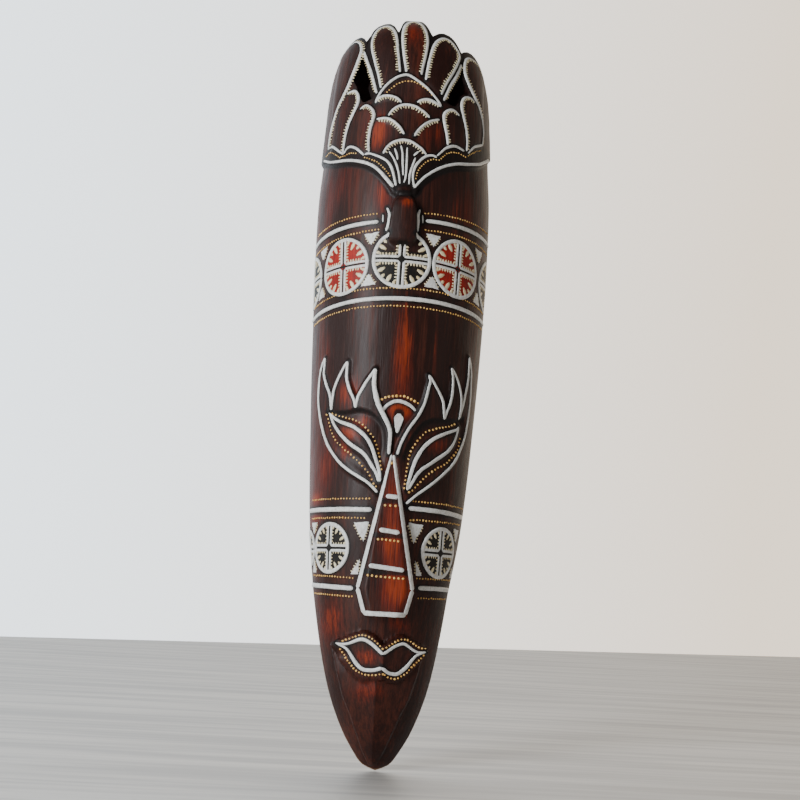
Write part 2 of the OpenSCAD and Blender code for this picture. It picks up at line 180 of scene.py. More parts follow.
# Smooth hills of about the given size, from -1 to 1.
def softNoise(s, z, scale, seed):
    local = np.random.default_rng(seed)
    total = np.zeros(np.shape(s))
    for _ in range(7):
        a = local.uniform(0, 2 * np.pi)
        f = local.uniform(0.6, 1.5) * 2 * np.pi / scale
        total += np.sin(f * (s * np.cos(a) + z * np.sin(a)) + local.uniform(0, 2 * np.pi))
    return total / 4.5


# The drawing on the face, as [s, z] lines

crest = {
    "edge": [[-84, 400], [-67.6, 395.2], [-59.3, 391.4], [-50.6, 388.9], [-42.9, 387.3],
        [-36.2, 385.7], [-30, 383.6], [-25.1, 381.4], [-20.7, 378.6], [-16.7, 375], [-13.2, 371],
        [-10.2, 367], [-6.5, 362], [5.5, 362], [8.3, 367.4], [11.6, 371.4], [15.3, 375],
        [19.9, 378.8], [24.8, 381.9], [29.9, 384.5], [35.3, 386.6], [41.3, 388.4], [48, 390.8],
        [56, 394.3], [62.4, 398.3], [69.8, 403.4], [84, 412]],
    "scallops": [[-80, 420], [-76, 436], [-73, 450], [-68.5, 462], [-63, 471.5], [-57, 478],
        [-51, 482.5], [-44.5, 484.5], [-38, 483], [-34, 479], [-31.6, 474.6], [-30, 479.5],
        [-27.6, 485.5], [-24, 490.6], [-19.5, 492.8], [-15.4, 490.6], [-12, 485.5], [-9.9, 480.2],
        [-8.9, 478.2], [-8, 484], [-6.2, 491.5], [-3.4, 497.6], [0, 500], [3.4, 498], [6.6, 493],
        [9.4, 486.5], [12, 479.8], [13.2, 477.4], [14.6, 479], [17.5, 481.8], [21, 483.2],
        [25, 482.6], [28.6, 480], [31.6, 476], [33.8, 472.4], [35, 470.6], [36.6, 472.4],
        [40.5, 474.8], [45, 475.6], [50, 474.6], [55, 471.6], [60, 466.4], [66, 457], [71, 446],
        [76, 432], [80, 420]],
    "petals": {
        "first": [[-62.4, 403.6], [-61.9, 409], [-59.8, 416.7], [-57.3, 422.5], [-53.4, 429.6],
            [-48.5, 436.6], [-44.8, 442], [-41.8, 448], [-38.6, 455.6], [-36, 463], [-35, 468],
            [-36, 473.5], [-39, 477.5], [-43, 479.2], [-48.4, 478], [-54, 475], [-58.5, 470.5]],
        "second": [[-18.7, 435.2], [-20.5, 443.4], [-22.4, 450.2], [-24.5, 458], [-26.6, 466.3],
            [-27, 472.8], [-26, 478.6], [-23.6, 483.6], [-20.2, 486.2], [-17, 486.2], [-14, 483.6],
            [-11.2, 477.8], [-9.8, 471.1], [-9, 463.4], [-7.9, 455.2], [-6.8, 446]],
        "third": [[-2.8, 446.3], [-4, 453], [-5.2, 461], [-6.1, 469], [-6.4, 477], [-5.3, 484.5],
            [-2.8, 489.5], [0.6, 491.6], [3.8, 489.6], [6.6, 485], [8.8, 478.5], [9.8, 471.5],
            [9.4, 464.5], [8.4, 457], [7.4, 450.5], [6.7, 445]],
        "fourth": [[9.7, 441.6], [10.3, 448], [11.2, 455], [12.5, 462.5], [13.8, 468.6],
            [16, 473.4], [19, 476.6], [22.2, 477.6], [25.8, 476.4], [29, 473.2], [31.8, 469.4],
            [32.8, 465.6], [31.4, 460], [29.2, 454.2], [26.4, 448], [23.6, 442], [20.3, 433]],
        "fifth": [[58.1, 410.5], [58.9, 416], [58.9, 421], [57.9, 426.5], [55.6, 431],
            [53.1, 435.2], [48.9, 439.5], [45.1, 443.2], [41.7, 447.4], [39, 451.5], [37.4, 456],
            [37.2, 461], [38.3, 466.2], [41.4, 469.2], [45.4, 469.8], [49.8, 469.2], [54.2, 467],
            [58, 462]],
    },
    "bars": [
        [[-33.2, 466.5], [-29.3, 455.6], [-26, 446.6], [-21.6, 432]],
        [[34.8, 461], [32.3, 453.2], [29.9, 447.6], [27.1, 442], [22.4, 429.5]],
    ],
    "leaves": [
        [[-45, 437.2], [-41, 437.6], [-37.6, 437], [-35.4, 433.6], [-34.6, 429.4], [-36, 424.6],
            [-38.7, 419.4], [-40.8, 415], [-42.4, 410.6], [-43.8, 405], [-44.6, 399], [-44.9, 394]],
        [[-32.6, 422.2], [-28.8, 424.2], [-25, 421.8], [-22.4, 417.2], [-22.8, 412.4],
            [-24.1, 407.6], [-24.9, 402], [-25, 396], [-24.3, 390]],
        [[48, 437], [44.5, 438.2], [40.4, 437.8], [37.4, 435.6], [35.9, 432], [36, 428],
            [37.3, 423.1], [39.2, 417.6], [40.8, 411.4], [41.5, 405], [41.2, 398.6]],
        [[34, 421.6], [31, 423.8], [27.9, 424.1], [24.8, 422.2], [22.9, 419], [23.1, 414.4],
            [24.4, 409.2], [25.6, 404], [26.4, 398.2]],
    ],
    "leafBacks": [
        [[-58, 398], [-56, 428], [-47, 438]],
        [[-42, 394], [-41, 412], [-36, 422]],
        [[56, 408], [56.5, 426], [51, 437]],
        [[39.5, 402], [38.6, 414], [35, 424]],
    ],
    "scales": [
        [[-22, 425], [-19.2, 430.6], [-15.4, 436.2], [-10.5, 440.8], [-5.9, 443.3], [-1.5, 443.9],
            [3.4, 441], [8.5, 437.3], [12.6, 433.8], [16.4, 429.7], [20.8, 425]],
        [[-22, 425.6], [-19.8, 427.6], [-16.6, 428.9], [-13.4, 428.9], [-9.9, 428], [-6.9, 426.3],
            [-5.1, 424.3]],
        [[5, 424.9], [7.8, 426.6], [11.4, 427.4], [14.6, 426.8], [17.7, 425.8], [20.6, 424.6]],
        [[-12.8, 415], [-9.7, 418.8], [-6.2, 421.2], [-2, 422.3], [3.4, 421.6], [7.3, 419.6],
            [10.6, 417.4], [13.4, 415.2]],
        [[-20.4, 413], [-16.7, 412.9], [-13, 412.4], [-9.3, 410.3], [-5.4, 406.5], [-2.3, 401.6]],
        [[4.3, 400.6], [6.6, 404.8], [9.9, 408.8], [13.6, 412], [16.7, 413.6], [20, 415]],
        [[-14.9, 388], [-12.3, 392.2], [-9.1, 395.1], [-5.1, 396.7], [-1.6, 397], [2.3, 396.2],
            [6, 394], [9.1, 391.8], [12.2, 388.6]],
    ],
    "ribs": [
        [[-11.1, 389.2], [-8.4, 385], [-6.1, 380], [-4.4, 374.2], [-3.3, 366.8]],
        [[-7.7, 391.3], [-6.2, 387.3], [-5.5, 383.4]],
        [[-3.8, 393.2], [-2.6, 388], [-2.2, 381.6], [-1.5, 372.6]],
        [[0.1, 392], [0.3, 385], [0.3, 378], [0.1, 371.6], [-0.8, 367.6]],
        [[5.6, 385.4], [3.9, 379.2], [2.6, 373.2], [2.4, 366.6]],
        [[7.2, 389.8], [4.4, 386.7]],
    ],
    "scrolls": [
        [[-64, 402.8], [-60.5, 403], [-56.4, 401.8], [-52.1, 398.8], [-47.7, 395], [-44.6, 392.8]],
        [[-44.4, 393.2], [-42.4, 395], [-39.6, 396.1], [-36.5, 395.5], [-33.3, 393.6],
            [-30.2, 390.6], [-28, 388.2]],
        [[-27.4, 388.6], [-24.1, 388.9], [-20.2, 387.3], [-16, 385.2], [-12.4, 382.7],
            [-9.7, 379.1], [-7.9, 374.4], [-6.6, 369.3], [-5.7, 365.4]],
        [[5.9, 364.4], [4.7, 370.2], [4.8, 375.1], [5.9, 379.4], [8, 382.9], [10.9, 386.2],
            [13.9, 388], [17, 388.6], [19.3, 387.8]],
        [[19.5, 389], [22.4, 392.4], [24.8, 395.3], [27.7, 397.4], [31.2, 398.8], [34.9, 398.9],
            [39.4, 398]],
        [[43, 397.6], [45.8, 401.4], [48.4, 404.2], [52.4, 406.6], [58.9, 410.4]],
        [[-70, 396.8], [-67.6, 395.7], [-59.3, 391.6], [-50.6, 389.1], [-42.9, 387.6],
            [-36.2, 386], [-30, 384], [-25.1, 382], [-20.7, 379.4], [-16.7, 375.8], [-13.2, 371.7],
            [-10.2, 368], [-7.2, 364.4]],
        [[5.8, 364.6], [8.3, 368.2], [11.6, 372.3], [15.3, 375.8], [19.9, 379.5], [24.8, 382.6],
            [29.9, 385.2], [35.3, 387.3], [41.3, 389], [48, 391.4], [56, 394.9], [62.4, 398.9],
            [70, 403.8]],
    ],
    "dotRows": [
        [[-14.4, 431.8], [-11.8, 434.5], [-8.5, 437.2], [-5.2, 439], [-1.5, 439.6], [2.5, 439.2],
            [6.3, 437.6], [9.6, 435.2], [11.7, 433.5], [13.9, 431.3]],
        [[-66, 398.6], [-61, 399.2], [-57.6, 397.9], [-54.2, 396], [-50.9, 393.4], [-48, 391.2]],
        [[-46.9, 391.3], [-43.5, 391.3], [-39.7, 391.7], [-36.7, 391.4], [-34, 390.6]],
        [[-27.3, 386.4], [-23.1, 384.7], [-19.2, 382.5], [-16.1, 379.9], [-13.2, 376.8],
            [-11.6, 374.8], [-9.9, 372.2]],
        [[6.5, 371], [7.2, 374.6], [8.7, 378.5], [11.1, 381.7], [13.8, 384.4], [16.9, 385.8],
            [21.1, 386.2]],
        [[22.4, 387.6], [24.2, 389.9], [27.5, 393], [31, 394.4], [34.6, 394.8], [38, 394.5],
            [40.8, 394.2]],
        [[43.2, 395.8], [45.9, 398.1], [49.4, 400.8], [52.6, 403.1], [56.8, 405.3]],
    ],
    "recesses": [
        [[-36.6, 459.5], [-33.6, 462], [-25.6, 441], [-22.6, 430.5], [-27, 427.2], [-32, 427.6],
            [-37, 439.6], [-40.6, 446.6], [-39.4, 452]],
        [[36.2, 455], [35, 457.5], [31.6, 449.6], [28.6, 443], [24, 431], [24.6, 428.4], [30, 427],
            [34.2, 431], [37.6, 438.6], [44, 440.6], [39.6, 446.4], [36.6, 450.6]],
    ],
}

horns = {
    "left": [[-1.5, 193], [-1.2, 203.7], [-1.7, 208.4], [-3.6, 213], [-6.3, 218], [-9.2, 223.4],
        [-11.2, 229.7], [-12.5, 235], [-12.7, 240], [-12.4, 246], [-14.7, 242.3], [-16.9, 239],
        [-19, 235.2], [-20.7, 231.8], [-22.4, 228.4], [-23.6, 221.5], [-24.6, 225.6], [-26, 228.6],
        [-28.4, 233], [-30.2, 237.4], [-31.5, 242], [-31.6, 251.2], [-33.8, 248.2], [-35.9, 244.5],
        [-38, 240.4], [-39.6, 236.5], [-40.8, 232], [-41.6, 221], [-43.4, 230], [-46.6, 235.5],
        [-49.5, 240.5], [-51.8, 246], [-51.6, 255.7], [-53.7, 252.9], [-55.5, 249], [-56.4, 243.6],
        [-56.3, 238], [-56, 231.7], [-54.9, 225.3], [-53, 218.8], [-51, 213.7], [-48.5, 208.2],
        [-45.6, 202.7], [-42, 197.4], [-37.7, 192.6], [-33.6, 188.3], [-28.9, 184.6], [-23.3, 181],
        [-17.4, 177.7], [-12.4, 174.6], [-7.2, 169.4]],
    "right": [[3.6, 193], [4.8, 198], [6.7, 203], [9, 207.9], [12, 213], [15, 217.4], [17.2, 222],
        [19, 226.6], [20.4, 231.9], [21.4, 236.9], [22.3, 240.9], [21.2, 244.4], [24.2, 240.7],
        [27, 236.6], [30, 232.2], [32, 227.7], [33.3, 218], [35.6, 224.2], [37.5, 229.1],
        [38.8, 234.6], [39.4, 240.2], [39.2, 246], [37.8, 251.4], [40.7, 248.4], [43.2, 244.8],
        [45.2, 240.5], [46.7, 235.8], [47.2, 230.9], [46.8, 225], [46, 219.6], [47.6, 225.3],
        [49.3, 229.8], [50.9, 235.8], [53.2, 242], [54.8, 249], [54.6, 261.6], [57, 256],
        [58.4, 250.5], [58.3, 243.7], [58, 237.1], [56.9, 229.4], [55.8, 221], [54.4, 213],
        [51.8, 206.6], [49, 201.2], [45.6, 195.1], [41.2, 189.6], [35.6, 184.5], [30, 179.6],
        [24.9, 175.5], [19.5, 171.4], [15.3, 168], [10.4, 163.4]],
    "tipsLeft": [9, 21, 32],
    "valleysLeft": [15, 27],
    "tipsRight": [11, 22, 35],
    "valleysRight": [16, 29],
    "brows": [
        [[-46, 221.4], [-41.8, 220], [-35, 219.1], [-29.4, 219.2], [-25.1, 220.1], [-20.5, 220.4],
            [-16.1, 219.4], [-12.1, 217.6], [-8.6, 214.8], [-5.6, 210.2], [-3.9, 204], [-3.4, 197]],
        [[50, 221.4], [47.9, 220.5], [42.9, 218.7], [38.3, 217.9], [33, 217.5], [28.2, 217.3],
            [24.5, 216.5], [21, 214.9], [17.7, 212.4], [14.6, 208.6], [12.1, 204], [9.8, 199],
            [7.6, 192]],
    ],
}

eyes = {
    "sockets": [
        [[-4.5, 186], [-6.6, 174], [-13, 178.4], [-24, 185.4], [-34, 193], [-42, 201], [-48, 212]],
        [[8, 182], [9, 170], [17, 173.6], [30, 183.4], [41.6, 193.4], [49.6, 205.6], [53, 215]],
    ],
    "left": {
        "upper": [[-44.2, 219.2], [-39, 215.7], [-34.6, 213.3], [-29.6, 211.6], [-24.9, 209.9],
            [-20.8, 207.4], [-16.9, 204.3], [-14.2, 201.1], [-12, 197.2], [-10.4, 193.3],
            [-9, 189.4], [-7.6, 185.5], [-6.3, 180.4], [-5.9, 176]],
        "lower": [[-43.8, 219], [-42, 216.4], [-39.2, 212.1], [-35.7, 207.9], [-31.5, 203.7],
            [-27, 199.8], [-22.8, 196.9], [-18.4, 194.2], [-15.3, 191.4], [-13.1, 188.3],
            [-10.9, 184.9], [-8.6, 181.4], [-6.6, 176]],
    },
    "right": {
        "upper": [[46.6, 215], [44.6, 213], [38.3, 210.6], [32.7, 208.2], [27.1, 205.3],
            [22.8, 202.1], [19.2, 198.1], [16.7, 194], [14.8, 189.9], [13.4, 185.8], [12.2, 181],
            [11, 176], [10.6, 171.6]],
        "lower": [[46.4, 215], [45.3, 211.6], [43.3, 206.6], [40.6, 202.2], [37, 198.1],
            [32.6, 194.8], [27.9, 191.5], [23.6, 188.3], [19.4, 185.3], [16.4, 181.9], [14.2, 178],
            [11.3, 172.4]],
    },
    "dotRows": [
        [[-40.8, 218.4], [-35.8, 217], [-31.2, 215.8], [-26.9, 214.7], [-22.5, 213.2],
            [-17.8, 210.3], [-15.2, 207.5], [-13, 205.2], [-11.2, 202.8], [-9.9, 200.1],
            [-8.7, 197], [-7.6, 193.5], [-6.7, 190.2], [-6, 186.6], [-5.3, 183.4]],
        [[-45.8, 218.2], [-44.8, 215], [-43.7, 212.5], [-42.5, 209.2], [-39.9, 205],
            [-36.8, 201.2], [-33.5, 198.3], [-29.9, 195.4], [-26, 192.8], [-22.7, 190.1],
            [-19.5, 187.4], [-16.4, 184.4], [-14.1, 181.9], [-11.9, 178.8], [-9.7, 175.2],
            [-8, 172.7]],
        [[43.4, 216.4], [39.1, 214.5], [34.3, 213.1], [29.9, 211.9], [24.4, 210], [22, 209],
            [20.1, 207.4], [17, 204], [14.5, 200.2], [12.7, 197.5], [11.4, 193], [10.4, 187.6],
            [9.8, 184], [9.5, 180.9], [9.1, 177.3], [8.7, 172.5]],
        [[11.7, 170.3], [14.1, 172.2], [16, 174.3], [18, 176.4], [21.7, 180.2], [25.7, 183.7],
            [30.5, 186.9], [35.5, 189.8], [39.1, 192.8], [42.9, 196.5], [45.8, 200.1],
            [47.6, 203.6], [48.6, 208]],
    ],
}

brow = {
    "arc": [[-6.2, 219.6], [-5.2, 222.4], [-2.2, 224.9], [1.5, 226.4], [5.3, 226.2], [9.3, 224.8],
        [12.1, 223], [13.9, 221.2]],
    "drop": [[3.0, 206.6], [3.2, 210.6], [3.5, 214.8], [3.6, 218.6]],
    "dots": [[-7.5, 227.1], [-3.7, 228.9], [1.6, 229.6], [7, 229.4], [10.9, 228.2], [15.3, 226.3]],
}

lips = {
    "upper": [[-26.4, 77.6], [-25, 77.1], [-20.6, 77.2], [-17, 78.6], [-14, 80.1], [-10.6, 80.7],
        [-7.2, 79.4], [-3.4, 76.6], [-0.8, 74], [1, 72.7]],
    "upperRight": [[1, 72.7], [3.6, 74.6], [6.7, 77], [9.9, 78.6], [12.9, 79.1], [15.6, 77.6],
        [18.8, 75.3], [22.2, 74.1], [26, 74.4]],
    "lower": [[-26.2, 77.4], [-20.5, 74.6], [-17.9, 71.4], [-15.5, 68.1], [-13.2, 65.3],
        [-10.9, 63.4], [-8.8, 62.6], [-4.7, 62.6], [-1.6, 63.4], [0.8, 64.5]],
    "lowerRight": [[0.8, 64.5], [3.3, 62.3], [5.8, 61.1], [9, 60.9], [11.5, 62.3], [14.8, 65.3],
        [17.7, 69], [20.8, 72.3], [25.6, 74.4]],
    "pad": [[-30.4, 77.4], [-24, 80.4], [-17.4, 83.2], [-10.6, 85.2], [-5, 83.4], [-1, 80],
        [1, 78], [5, 81], [10, 83.6], [14.6, 83.2], [20, 80.6], [28.4, 75.8], [26, 70.2],
        [20, 63.6], [14, 57.6], [8, 55.2], [1, 56.4], [-5, 56], [-10.2, 55.2], [-16, 58.4],
        [-22.6, 64.4], [-27, 70]],
    "dotRows": [
        [[-22.7, 79], [-18.4, 80.6], [-15.3, 82.2], [-11.8, 83.2], [-7.9, 82.7], [-4.9, 81.1],
            [-1.9, 78.6], [0.6, 75.9]],
        [[2.6, 76.6], [5.5, 78.7], [9.6, 81.3], [12.6, 81.8], [15.3, 81.3], [17.6, 80],
            [20.1, 78.3], [22.7, 76.9], [25.8, 76.6]],
        [[-23.8, 73.8], [-21.2, 70.3], [-18.2, 66.5], [-15.2, 63], [-11.5, 60.6], [-7.8, 59.6],
            [-3.5, 59.8], [1.6, 60.8]],
        [[2.6, 60.2], [4.3, 58.9], [6.4, 58.2], [8.9, 58.2], [11.2, 59.1], [15.1, 61.8],
            [17.9, 65.1], [21.2, 68.2], [25.2, 72.2]],
    ],
}

nose = {
    "top": 194.0, "foot": 95.0, "shoulder": 111.0,
    "topWidth": [-1.4, 3.4], "shoulderWidth": [-17.4, 18.4], "footWidth": [-12.6, 14.4],
    "rise": 13.0, "riseAt": 104.0,      # how far the foot stands out from the face
    "topRise": 1.5,
    "bevel": [1.6, 6.0],     # width of the side facets, at the top and at the shoulder
    "bevelDrop": [1.3, 4.6],
    # height, left end, right end, tilt, dots below
    "bars": [[167, -1.8, 5.6, -0.2, 3], [146, -4.9, 7.5, -0.7, 6], [124, -10.0, 11.4, -1.0, 9]],
}


def noseEdges(z):
    heights = [nose[k] for k in ("foot", "shoulder", "top")]
    return [np.interp(z, heights, [nose[k][side] for k in ("footWidth", "shoulderWidth",
                                                           "topWidth")]) for side in (0, 1)]


footPlane = faceShape["axisBehind"] - faceRadius(nose["riseAt"]) - nose["rise"]
topPlane = faceShape["axisBehind"] - faceRadius(nose["top"]) - nose["topRise"]


# Depth of the nose's front: flat in the middle, with a facet down each side
def noseFront(x, z):
    share = (np.asarray(z, float) - nose["foot"]) / (nose["top"] - nose["foot"])
    plane = footPlane + (topPlane - footPlane) * share
    left, right = noseEdges(z)
    span = np.interp(z, [nose["shoulder"], nose["top"]], nose["bevel"][::-1])
    drop = np.interp(z, [nose["shoulder"], nose["top"]], nose["bevelDrop"][::-1])
    inFrom = np.minimum(x - left, right - x)
    return plane + drop * np.clip(1 - inFrom / span, 0, 1.2)


# Relief: how far the wood stands off the plain round face

edgeLine = curveThrough(crest["edge"], 3)
petalShapes = [curveThrough(p, 3) for p in crest["petals"].values()]
scaleShapes = [curveThrough(p, 3) for p in crest["scales"]]
leafShapes = [np.vstack([curveThrough(leaf, 3), back])
              for leaf, back in zip(crest["leaves"], crest["leafBacks"])]
eyeShapes = [np.vstack([curveThrough(eyes[k]["upper"], 2),
                        curveThrough(eyes[k]["lower"], 2)[::-1]]) for k in ("left", "right")]
browLines = [curveThrough(p, 2) for p in horns["brows"]]
socketShapes = [np.vstack([browLine, low]) for browLine, low in zip(browLines, eyes["sockets"])]
padShape = curveThrough(lips["pad"], 3, closed=True)


def hornShape(side):
    corners = set(horns["tips" + side] + horns["valleys" + side])
    points = horns[side.lower()]
    out, run = [], []
    for k, p in enumerate(points):
        run.append(p)
        if k in corners or k == len(points) - 1:
            out.append(curveThrough(run, 2))
            run = [p]
    return out


hornStrokes = {side: hornShape(side) for side in ("Left", "Right")}
hornShapes = [np.vstack(hornStrokes[side]) for side in ("Left", "Right")]


def crestRelief(s, z):
    onCrest = (z - np.interp(s, edgeLine[:, 0], edgeLine[:, 1])) * 0.9
    rise = smoothStep(onCrest, -3.2, -1.0)
    lift = rise * (faceShape["crestLift"] - 0.5)
    puff = np.zeros(s.shape)
    for shapes, high, outer, soft in ((petalShapes, 1.3, 1.6, 1.8), (leafShapes, 0.9, 1.4, 1.4)):
        for shape in shapes:
            d = edgeDistance(s, z, shape)
            puff = np.maximum(puff, high * (1 - np.exp(-np.maximum(d + outer, 0) / soft)))
    for shape in scaleShapes:
        d = edgeDistance(s, z, shape)
        fromArc = lineDistance(s, z, shape)
        along = (shape[-1] - shape[0]) / np.linalg.norm(shape[-1] - shape[0])
        fromChord = (z - shape[0][1]) * along[0] - (s - shape[0][0]) * along[1]
        puff = np.maximum(puff, 1.15 * smoothStep(d, -1.9, -0.9) * np.exp(-fromArc / 3.2)
                          * smoothStep(fromChord, -0.5, 3.5))
    return lift + puff * rise


def hornRelief(s, z):
    lift = np.zeros(s.shape)
    for shape in hornShapes:
        lift = np.maximum(lift, faceShape["hornLift"] * (0.5 + 0.5 * smoothStep(z, 254, 224))
                          * smoothStep(edgeDistance(s, z, shape), -2.6, -1.0))
    for shape, browLine, eyeShape in zip(socketShapes, browLines, eyeShapes):
        d = edgeDistance(s, z, shape)
        fromBrow = lineDistance(s, z, browLine)
        lift = lift - smoothStep(d, -1.5, 3.0) * (0.9 + 1.6 * np.exp(-fromBrow / 4.5))
        e = edgeDistance(s, z, eyeShape)
        ball = 0.9 + 1.2 * (1 - np.exp(-np.maximum(e, 0) / 4))
        lift = lift + smoothStep(e, -3.6, -1.5) * ball
    return lift


def lipRelief(s, z):
    r = faceRadius(z)
    a = s / r
    ridge = -(r - faceShape["axisBehind"]) - 6.2
    pad = (faceShape["axisBehind"] - ridge) / (np.cos(a) + 0.36 * np.abs(np.sin(a - 0.03))) - r
    pad = pad - 0.8 * np.exp(-((z - 71) / 2.2) ** 2) * smoothStep(np.abs(s - 1), 14, 24)
    d = edgeDistance(s, z, padShape)
    rise = smoothStep(d, -1.2, 0.9)
    soft = 0.7 * np.exp(-np.maximum(d, 0) / 1.2)
    return rise * np.maximum(pad - soft, 0)


# Two planes that meet in a ridge down the middle of the chin, with a step at each side
def chinRelief(s, z):
    r = faceRadius(z)
    a = (s + 2) / r
    stand = np.interp(z, [0, 4, 12, 30, 50, 60, 68, 74, 80],
                      [0, 1.0, 2.6, 3.6, 3.8, 3.2, 1.6, 0.4, 0])
    half = np.interp(z, [0, 10, 35, 44, 55, 67, 74, 92], [0.5, 5, 14.5, 19, 22.5, 27, 30, 30])
    deep = r + stand
    plane = deep / (np.cos(a) + 0.34 * np.abs(np.sin(a))) - r
    atEdge = deep / (np.cos(half / r) + 0.34 * np.sin(half / r)) - r
    past = np.maximum(np.abs(s + 2) - half, 0)
    lift = np.where(past > 0, atEdge - 0.9 * past, plane)
    return np.maximum(lift, 0) * smoothStep(z, 82, 70)


def knobRelief(s, z):
    side = np.abs(s - 0.2)
    half = np.interp(z, [325, 329, 334, 346, 354, 362], [4.4, 7.6, 8.6, 7.8, 6.2, 3.2])
    front = np.interp(z, [324, 330, 340, 350, 354.6, 360, 366], [3.4, 5.6, 7.0, 7.2, 6.6, 2.0, 0])
    front = front - 0.11 * np.maximum(side - 1.5, 0)
    return front * smoothStep(half - side, -1.4, 1.0) * smoothStep(z, 324.5, 328.5)


def reliefAt(s, z):
    s, z = np.asarray(s, float), np.asarray(z, float)
    lift = np.zeros(s.shape)
    for low, high, part in ((358, 520, crestRelief), (155, 268, hornRelief),
                            (46, 92, lipRelief), (318, 368, knobRelief)):
        near = (z > low) & (z < high)
        if near.any():
            lift[near] += part(s[near], z[near])
    near = z < 98
    if near.any():
        lift[near] = np.maximum(lift[near], chinRelief(s[near], z[near]))
    lift += 0.12 * softNoise(s, z, 26, 3) + 0.06 * softNoise(s * 1.6, z * 0.5, 9, 5)
    return lift


# The block of wood

def deselectAll():
    if bpy.context.object and bpy.context.object.mode != "OBJECT":
        bpy.ops.object.mode_set(mode="OBJECT")
    bpy.ops.object.select_all(action="DESELECT")


def pick(*objects):
    deselectAll()
    for o in objects:
        o.select_set(True)
    bpy.context.view_layer.objects.active = objects[0]


def named(name):
    piece = bpy.context.object
    piece.name = name
    piece.data.name = name
    return piece


def vertexPlaces(piece):
    co = np.empty(len(piece.data.vertices) * 3)
    piece.data.vertices.foreach_get("co", co)
    return co.reshape(-1, 3)


def placeVertices(piece, co):
    piece.data.vertices.foreach_set("co", np.ascontiguousarray(co, float).ravel())
    piece.data.update()


def editAll():
    bpy.ops.object.mode_set(mode="EDIT")
    bpy.ops.mesh.select_all(action="SELECT")


def endEdit():
    bpy.ops.object.mode_set(mode="OBJECT")


# Welds points closer than merge metres, if given, and turns all faces outwards.
def fixNormals(piece, merge=None):
    pick(piece)
    editAll()
    if merge:
        bpy.ops.mesh.remove_doubles(threshold=merge)
    bpy.ops.mesh.normals_make_consistent(inside=False)
    endEdit()


# Sets the selected points of a piece apart from the rest, as true and false.
def chosenVertices(piece):
    return np.array([v.select for v in piece.data.vertices])


# Flat face with the given number of corners, moved to the given places and thickened.
def thickOutline(name, places, move=(0, 0, 0)):
    deselectAll()
    bpy.ops.mesh.primitive_circle_add(vertices=len(places), radius=1, fill_type="NGON")
    piece = named(name)
    placeVertices(piece, places)
    editAll()
    bpy.ops.mesh.extrude_region_move(TRANSFORM_OT_translate={"value": move})
    endEdit()
    return piece


# A grid of the given columns and rows, shaped by place(column share, row share).
def shapedGrid(name, columns, rows, place):
    deselectAll()
    bpy.ops.mesh.primitive_grid_add(x_subdivisions=columns, y_subdivisions=rows, size=2)
    piece = named(name)
    co = vertexPlaces(piece)
    placeVertices(piece, place(co[:, 0], co[:, 1]))
    return piece


# Takes the open edge of a sheet straight back to the given depth and closes it.
def closeBehind(piece, depth, merge=0.00002):
    pick(piece)
    editAll()
    bpy.ops.mesh.remove_doubles(threshold=merge)
    bpy.ops.mesh.select_all(action="DESELECT")
    bpy.ops.mesh.select_mode(type="EDGE")
    bpy.ops.mesh.select_non_manifold(extend=False, use_boundary=True, use_wire=False,
                                     use_multi_face=False, use_non_contiguous=False,
                                     use_verts=False)
    bpy.ops.mesh.extrude_edges_move()
    endEdit()
    co = vertexPlaces(piece)
    co[chosenVertices(piece), 1] = depth
    placeVertices(piece, co)
    bpy.ops.object.mode_set(mode="EDIT")
    bpy.ops.mesh.edge_face_add()
    bpy.ops.mesh.select_mode(type="VERT")
    endEdit()
    fixNormals(piece, merge)


def combine(piece, tool, operation):
    pick(piece)
    cut = piece.modifiers.new("cut", "BOOLEAN")
    cut.operation = operation
    cut.solver = "EXACT"
    cut.use_self = operation == "DIFFERENCE"
    cut.object = tool
    bpy.ops.object.modifier_apply(modifier=cut.name)
    bpy.data.objects.remove(tool, do_unlink=True)


block = {
    "columns": 161,
    "crowding": 0.60,        # columns stand closer on the front than at the sides
    "rowSteps": [[0, 12], [20, 52], [95, 34], [160, 94], [262, 30], [322, 40], [366, 48],
                 [420, 64]],
    "wall": 10.0,
    "hollow": [24.0, 398.0],
    "hollowRound": 14.0,     # length over which each end of the hollow narrows
    "gougeDepth": 1.0, "gougeWidth": 9.0,
    "recessDepth": 12.0,
    "pocketWidth": 26.0, "pocketDepth": 6.0, "pocketTop": 427.5, "pocketFoot": 386.0,
    "toolsPast": 8.0,        # how far the cutting tools stand out behind the wall plane
    "screwHole": [414.2, 1.4, 20.0, 4.0],      # height, radius, inner and outer end
    "scallopFoot": 420.0,    # above this the rows of points follow the scalloped top
}

rowHeights = []
rowStarts = [low for low, _ in block["rowSteps"]] + [faceShape["height"]]
for (low, count), high in zip(block["rowSteps"], rowStarts[1:]):
    rowHeights += list(np.linspace(low, high, count, endpoint=False))
rowHeights = np.array(rowHeights + [faceShape["height"]])
scallops = np.array(crest["scallops"], float)


# Top of the block in each column: where the column meets the scalloped edge.
def columnTops(shares):
    z = np.linspace(block["scallopFoot"], faceShape["height"], 641)
    r = faceRadius(z)
    wide = np.arccos(np.clip(faceShape["axisBehind"] / r, -1, 1))
    tops = []
    for share in shares:
        s = r * wide * share
        above = z >= np.interp(s, scallops[:, 0], scallops[:, 1])
        tops.append(z[np.argmax(above)] if above.any() else faceShape["height"])
    return np.array(tops)


def crowded(u):
    return block["crowding"] * u + (1 - block["crowding"]) * u ** 3


